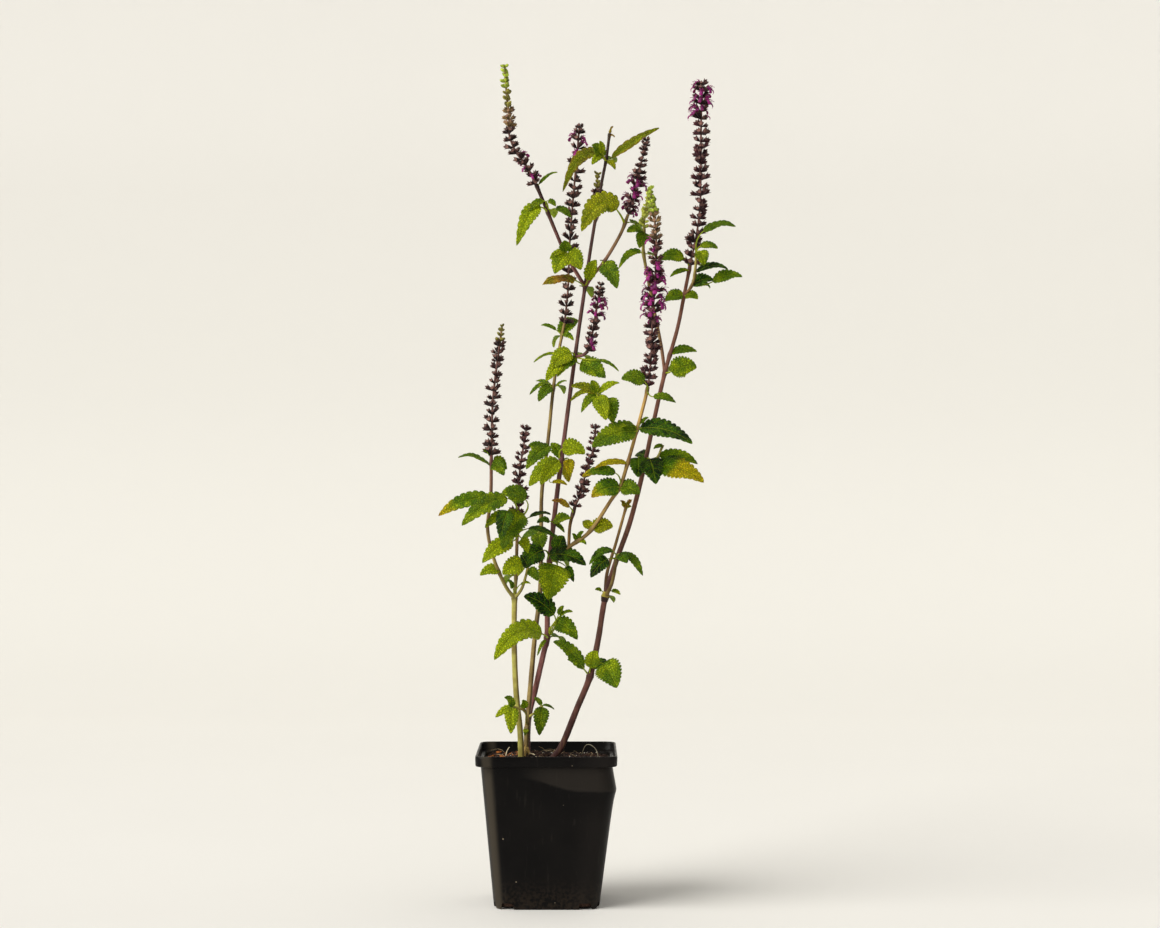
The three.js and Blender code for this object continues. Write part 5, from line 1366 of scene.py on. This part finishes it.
# %% Calyx tree
SHADE_RANGE = (0.6, 2.1)
SPIKE_INPUTS = {"Flower": "Object", "Ranks": "Int", "Lean": "Float", "Seed": "Int", "Finish": "Material"}
whorls, given = geometry_tree("calyx_whorls", SPIKE_INPUTS | {"Bud": "Object", "Rachis": "Float"})
line, places, aim, size = whorl_places(whorls, given)
closed = named(whorls, "closed")
both = whorls.nodes.new("GeometryNodeJoinGeometry")
for label, comparison in (("Flower", "LESS_THAN"), ("Bud", "GREATER_THAN")):
    chosen = calc(whorls, comparison, closed, 0.5)
    feed(whorls, set_flowers(whorls, given[label], places, chosen, aim, size), both.inputs[0])
skin = named(whorls, "skin", "FLOAT_COLOR")
bright = random_value(whorls, given, *SHADE_RANGE, 4)
shade = put(whorls, "ShaderNodeVectorMath", {0: skin, "Scale": bright}, operation="SCALE")
toned = store(whorls, both.outputs[0], "skin", shade.outputs[0], "FLOAT_COLOR", "INSTANCE")
section = put(whorls, "GeometryNodeCurvePrimitiveCircle", {"Resolution": 6, "Radius": given["Rachis"]})
rachis = put(whorls, "GeometryNodeCurveToMesh",
             {"Curve": line, "Profile Curve": section.outputs[0], "Fill Caps": True})
paler = put(whorls, "ShaderNodeVectorMath", {0: skin, 1: (0.5, 0.5, 0.5), 2: (0.14, 0.07, 0.055)},
            operation="MULTIPLY_ADD")
stalk = store(whorls, rachis.outputs[0], "skin", paler.outputs[0], "FLOAT_COLOR", "POINT")
joined = whorls.nodes.new("GeometryNodeJoinGeometry")
for part in (toned, stalk):
    feed(whorls, part, joined.inputs[0])
end_tree(whorls, joined.outputs[0], given["Finish"])
print("calyx tree:", len(whorls.nodes), "nodes")

# %% Corolla tree
blooms, given = geometry_tree("open_corollas", SPIKE_INPUTS)
_, places, aim, size = whorl_places(blooms, given)
is_open = calc(blooms, "LESS_THAN", random_value(blooms, given, 0.0, 1.0, 5), named(blooms, "open"))
opened = set_flowers(blooms, given["Flower"], places, is_open, aim, size)
fresh = store(blooms, opened, "freshness", random_value(blooms, given, 0.0, 1.0, 6), "FLOAT", "INSTANCE")
end_tree(blooms, fresh, given["Finish"])
print("corolla tree:", len(blooms.nodes), "nodes")

# %% Calyx and corolla materials
husk, tree, shader = new_material("calyx_husk", Roughness=0.7, Specular_IOR_Level=0.2, Sheen_Weight=0.08)
husk_skin = tinted(tree, carried(tree, "skin"), mottled(tree, 420.0, 0.2),
                   (0.55, 0.5, 0.5, 1), (1.5, 1.4, 1.35, 1))
mouth = times(tree, carried(tree, "mouth", "Fac"), 0.8)
feed(tree, blend(tree, mouth, husk_skin, srgb(184, 134, 118)), shader["Base Color"])
roughen(tree, shader, 1300.0, 0.0004, 0.5)

petal, tree, shader = new_material("mauve_petal", Roughness=0.55, Specular_IOR_Level=0.2,
                                   Subsurface_Weight=0.15, Subsurface_Scale=0.001)
mauve = blend(tree, carried(tree, "freshness", "Fac"), srgb(90, 4, 70), srgb(150, 14, 114))
patch = times(tree, mottled(tree, 500.0, 0.3), 0.14)
feed(tree, blend(tree, patch, mauve, srgb(214, 140, 190)), shader["Base Color"])
roughen(tree, shader, 1500.0, 0.0002, 0.4)
print("spike materials:", husk.name, petal.name)

# %% Spike colours
DARK_BROWN, MAROON, BROWN, TAN = (38, 20, 19), (46, 18, 24), (60, 34, 29), (110, 92, 58)
OLIVE, FRESH_BUD, PALE_BUD = (110, 108, 44), (126, 144, 44), (158, 168, 66)
CLOSED = (OLIVE, FRESH_BUD, PALE_BUD)

# %% Spikes
# Each spike is its route, the spacing of its whorls in millimetres, the flowers in a whorl, its
# zones from the foot to the tip, and the endings of its nodes. A zone is its first and last share,
# the reach at both ends, its colour and its share of open flowers.
SPIKES = {
    "left_outer_spike": (
        [(-44, -18, 352), (-43.5, -18, 380), (-42, -17, 404), (-38, -16, 435), (-35.5, -16, 454)],
        6.2, 5, [(0, 0.86, 5.8, 5, DARK_BROWN, 0), (0.86, 1, 4.2, 2.6, OLIVE, 0)], ["fruit", "buds"]),
    "left_inner_spike": (
        [(-23, -14, 305), (-22.2, -14, 314), (-22.4, -14, 329), (-20.8, -14, 345), (-16.6, -14, 371)],
        6, 5, [(0, 1, 6, 4.6, MAROON, 0)], ["fruit"]),
    "second_spike": (
        [(13.8, 16, 456), (16.6, 16, 484), (17.6, 17, 515), (20.5, 18, 554), (23.7, 18, 589),
         (25.6, 18, 613)],
        6.4, 5, [(0, 0.8, 5.8, 6, DARK_BROWN, 0), (0.8, 0.95, 5.8, 5.6, DARK_BROWN, 0.45),
         (0.95, 1, 5, 3.6, DARK_BROWN, 0.1)], ["fruit", "blooms", "buds"]),
    "tall_left_spike": (
        [(-8.7, -8, 566), (-16, -9, 580), (-25, -9, 592), (-30, -9, 606), (-30, -9, 620),
         (-31.6, -9, 633), (-33.6, -9, 659)],
        5.2, 6, [(0, 0.26, 5.2, 5.2, DARK_BROWN, 0.26), (0.26, 0.46, 5.6, 5.2, DARK_BROWN, 0),
         (0.46, 0.66, 5.2, 5, TAN, 0), (0.66, 0.82, 5, 4.6, OLIVE, 0),
         (0.82, 1, 4.6, 3.2, FRESH_BUD, 0)], ["blooms", "fruit", "buds"]),
    "tall_right_spike": (
        [(64, -5, 542), (68, -5, 556), (72.7, -5, 576), (79, -5, 602)],
        5.4, 6, [(0, 0.48, 5.4, 5.4, MAROON, 0.7), (0.48, 1, 5, 3.4, DARK_BROWN, 0)],
         ["blooms", "buds"]),
    "low_spike": (
        [(32, -6, 434), (35.5, -7, 447), (39.5, -7, 470), (42.7, -7, 487)],
        5.4, 6, [(0, 0.16, 5, 5, MAROON, 0.2), (0.16, 0.44, 5, 5, DARK_BROWN, 0.04),
         (0.44, 0.8, 5.2, 4.8, MAROON, 0.7), (0.8, 1, 4.4, 3, DARK_BROWN, 0)], ["blooms", "buds"]),
    "small_spike": (
        [(40.3, 10, 549), (39.8, 10, 561), (39.8, 10, 576)],
        4.6, 6, [(0, 0.5, 4.8, 4.4, DARK_BROWN, 0), (0.5, 1, 4.4, 2.8, OLIVE, 0)], ["buds"]),
    "bloom_spike": (
        [(79.6, -16, 406), (82, -16, 427), (83, -16, 451), (84.5, -16, 478.5), (86, -16, 505),
         (86, -16, 526), (83.7, -16, 547), (81.4, -16, 564)],
        5.4, 6, [(0, 0.33, 6, 6, MAROON, 0), (0.33, 0.6, 6, 5.6, MAROON, 0.9),
         (0.6, 0.72, 5.4, 5.2, BROWN, 0.08), (0.72, 0.86, 5, 4.4, TAN, 0),
         (0.86, 1, 4.4, 3, FRESH_BUD, 0)], ["fruit", "blooms", "upper", "buds"]),
    "short_spike": (
        [(22, -5, 311), (27.6, -5, 324.5), (30.8, -5, 340), (36.3, -5, 356), (38.7, -5, 376)],
        6.2, 6, [(0, 1, 5.6, 3.6, MAROON, 0)], ["fruit"]),
    "right_spike": (
        [(113, 3, 502), (118.5, 3, 529), (120.9, 3, 550), (121.3, 3, 575), (121.7, 3, 617),
         (122.5, 3, 644)],
        6, 6, [(0, 0.8, 6.4, 6.2, MAROON, 0), (0.8, 0.95, 6.2, 5.8, DARK_BROWN, 0.7),
         (0.95, 1, 5.4, 4.2, DARK_BROWN, 0.6)], ["fruit", "blooms"]),
    "young_spike": (
        [(76.6, 11, 532), (77.4, 11, 542), (80.6, 11, 559)],
        3.8, 6, [(0, 1, 5, 2.8, PALE_BUD, 0)], ["buds"]),
}
print("spikes:", len(SPIKES))


# %% Guide of a spike
def spike_guide(name, route, spacing, zones):
    """The rachis, one point for each whorl, with the reach, colour and share of open flowers of
    each. Whorls stand closer where their calyces are smaller."""
    path = smooth_line(route, 0.5)
    points, reaches, skins, opens, closes = [], [], [], [], []
    gone = 2 * spacing
    for k, point in enumerate(path):
        s = k / (len(path) - 1)
        start, end, low, high, colour, open_flowers = next(zone for zone in zones if s <= zone[1])
        reach = low + (high - low) * (s - start) / (end - start)
        gone += (point - path[max(0, k - 1)]).length
        if gone < spacing * reach / zones[0][2]:
            continue
        gone = 0
        points.append(point)
        reaches.append(reach)
        skins.append(srgb(*colour))
        opens.append(open_flowers)
        closes.append(float(colour in CLOSED))
    mesh = guide_mesh(name, [(points, reaches, skins)])
    carry(mesh, "open", "FLOAT", opens)
    carry(mesh, "closed", "FLOAT", closes)
    return mesh


# %% Grow the spikes
FLOWER_LEAN, RACHIS_RADIUS = 0.62, 0.9 * MM
for seed, (name, (route, spacing, ranks, zones, node_ends)) in enumerate(SPIKES.items()):
    guide = spike_guide(name, route, spacing, zones)
    values = {"Ranks": ranks, "Lean": FLOWER_LEAN, "Seed": 10 * seed}
    nodes = [f"{name}_{end}" for end in node_ends]
    mesh = grow(guide.copy(), whorls, values | {
        "Flower": calyx, "Bud": bud, "Rachis": RACHIS_RADIUS, "Finish": husk})
    finish_piece(name + "_whorls", mesh, nodes)
    if "blooms" in node_ends:
        mesh = grow(guide, blooms, values | {"Flower": corolla, "Finish": petal})
        finish_piece(name + "_corollas", mesh, [f"{name}_blooms"])

# %% [markdown]
# ## The repeated shapes
# The dressed plant may not outgrow the imported one. The small shapes that the trees repeated are
# no pieces of the plant, so they are taken away.

# %% Remove the repeated shapes
for shape_object in (crumb, flake, pearl, thread, calyx, corolla, bud):
    bpy.data.objects.remove(shape_object)
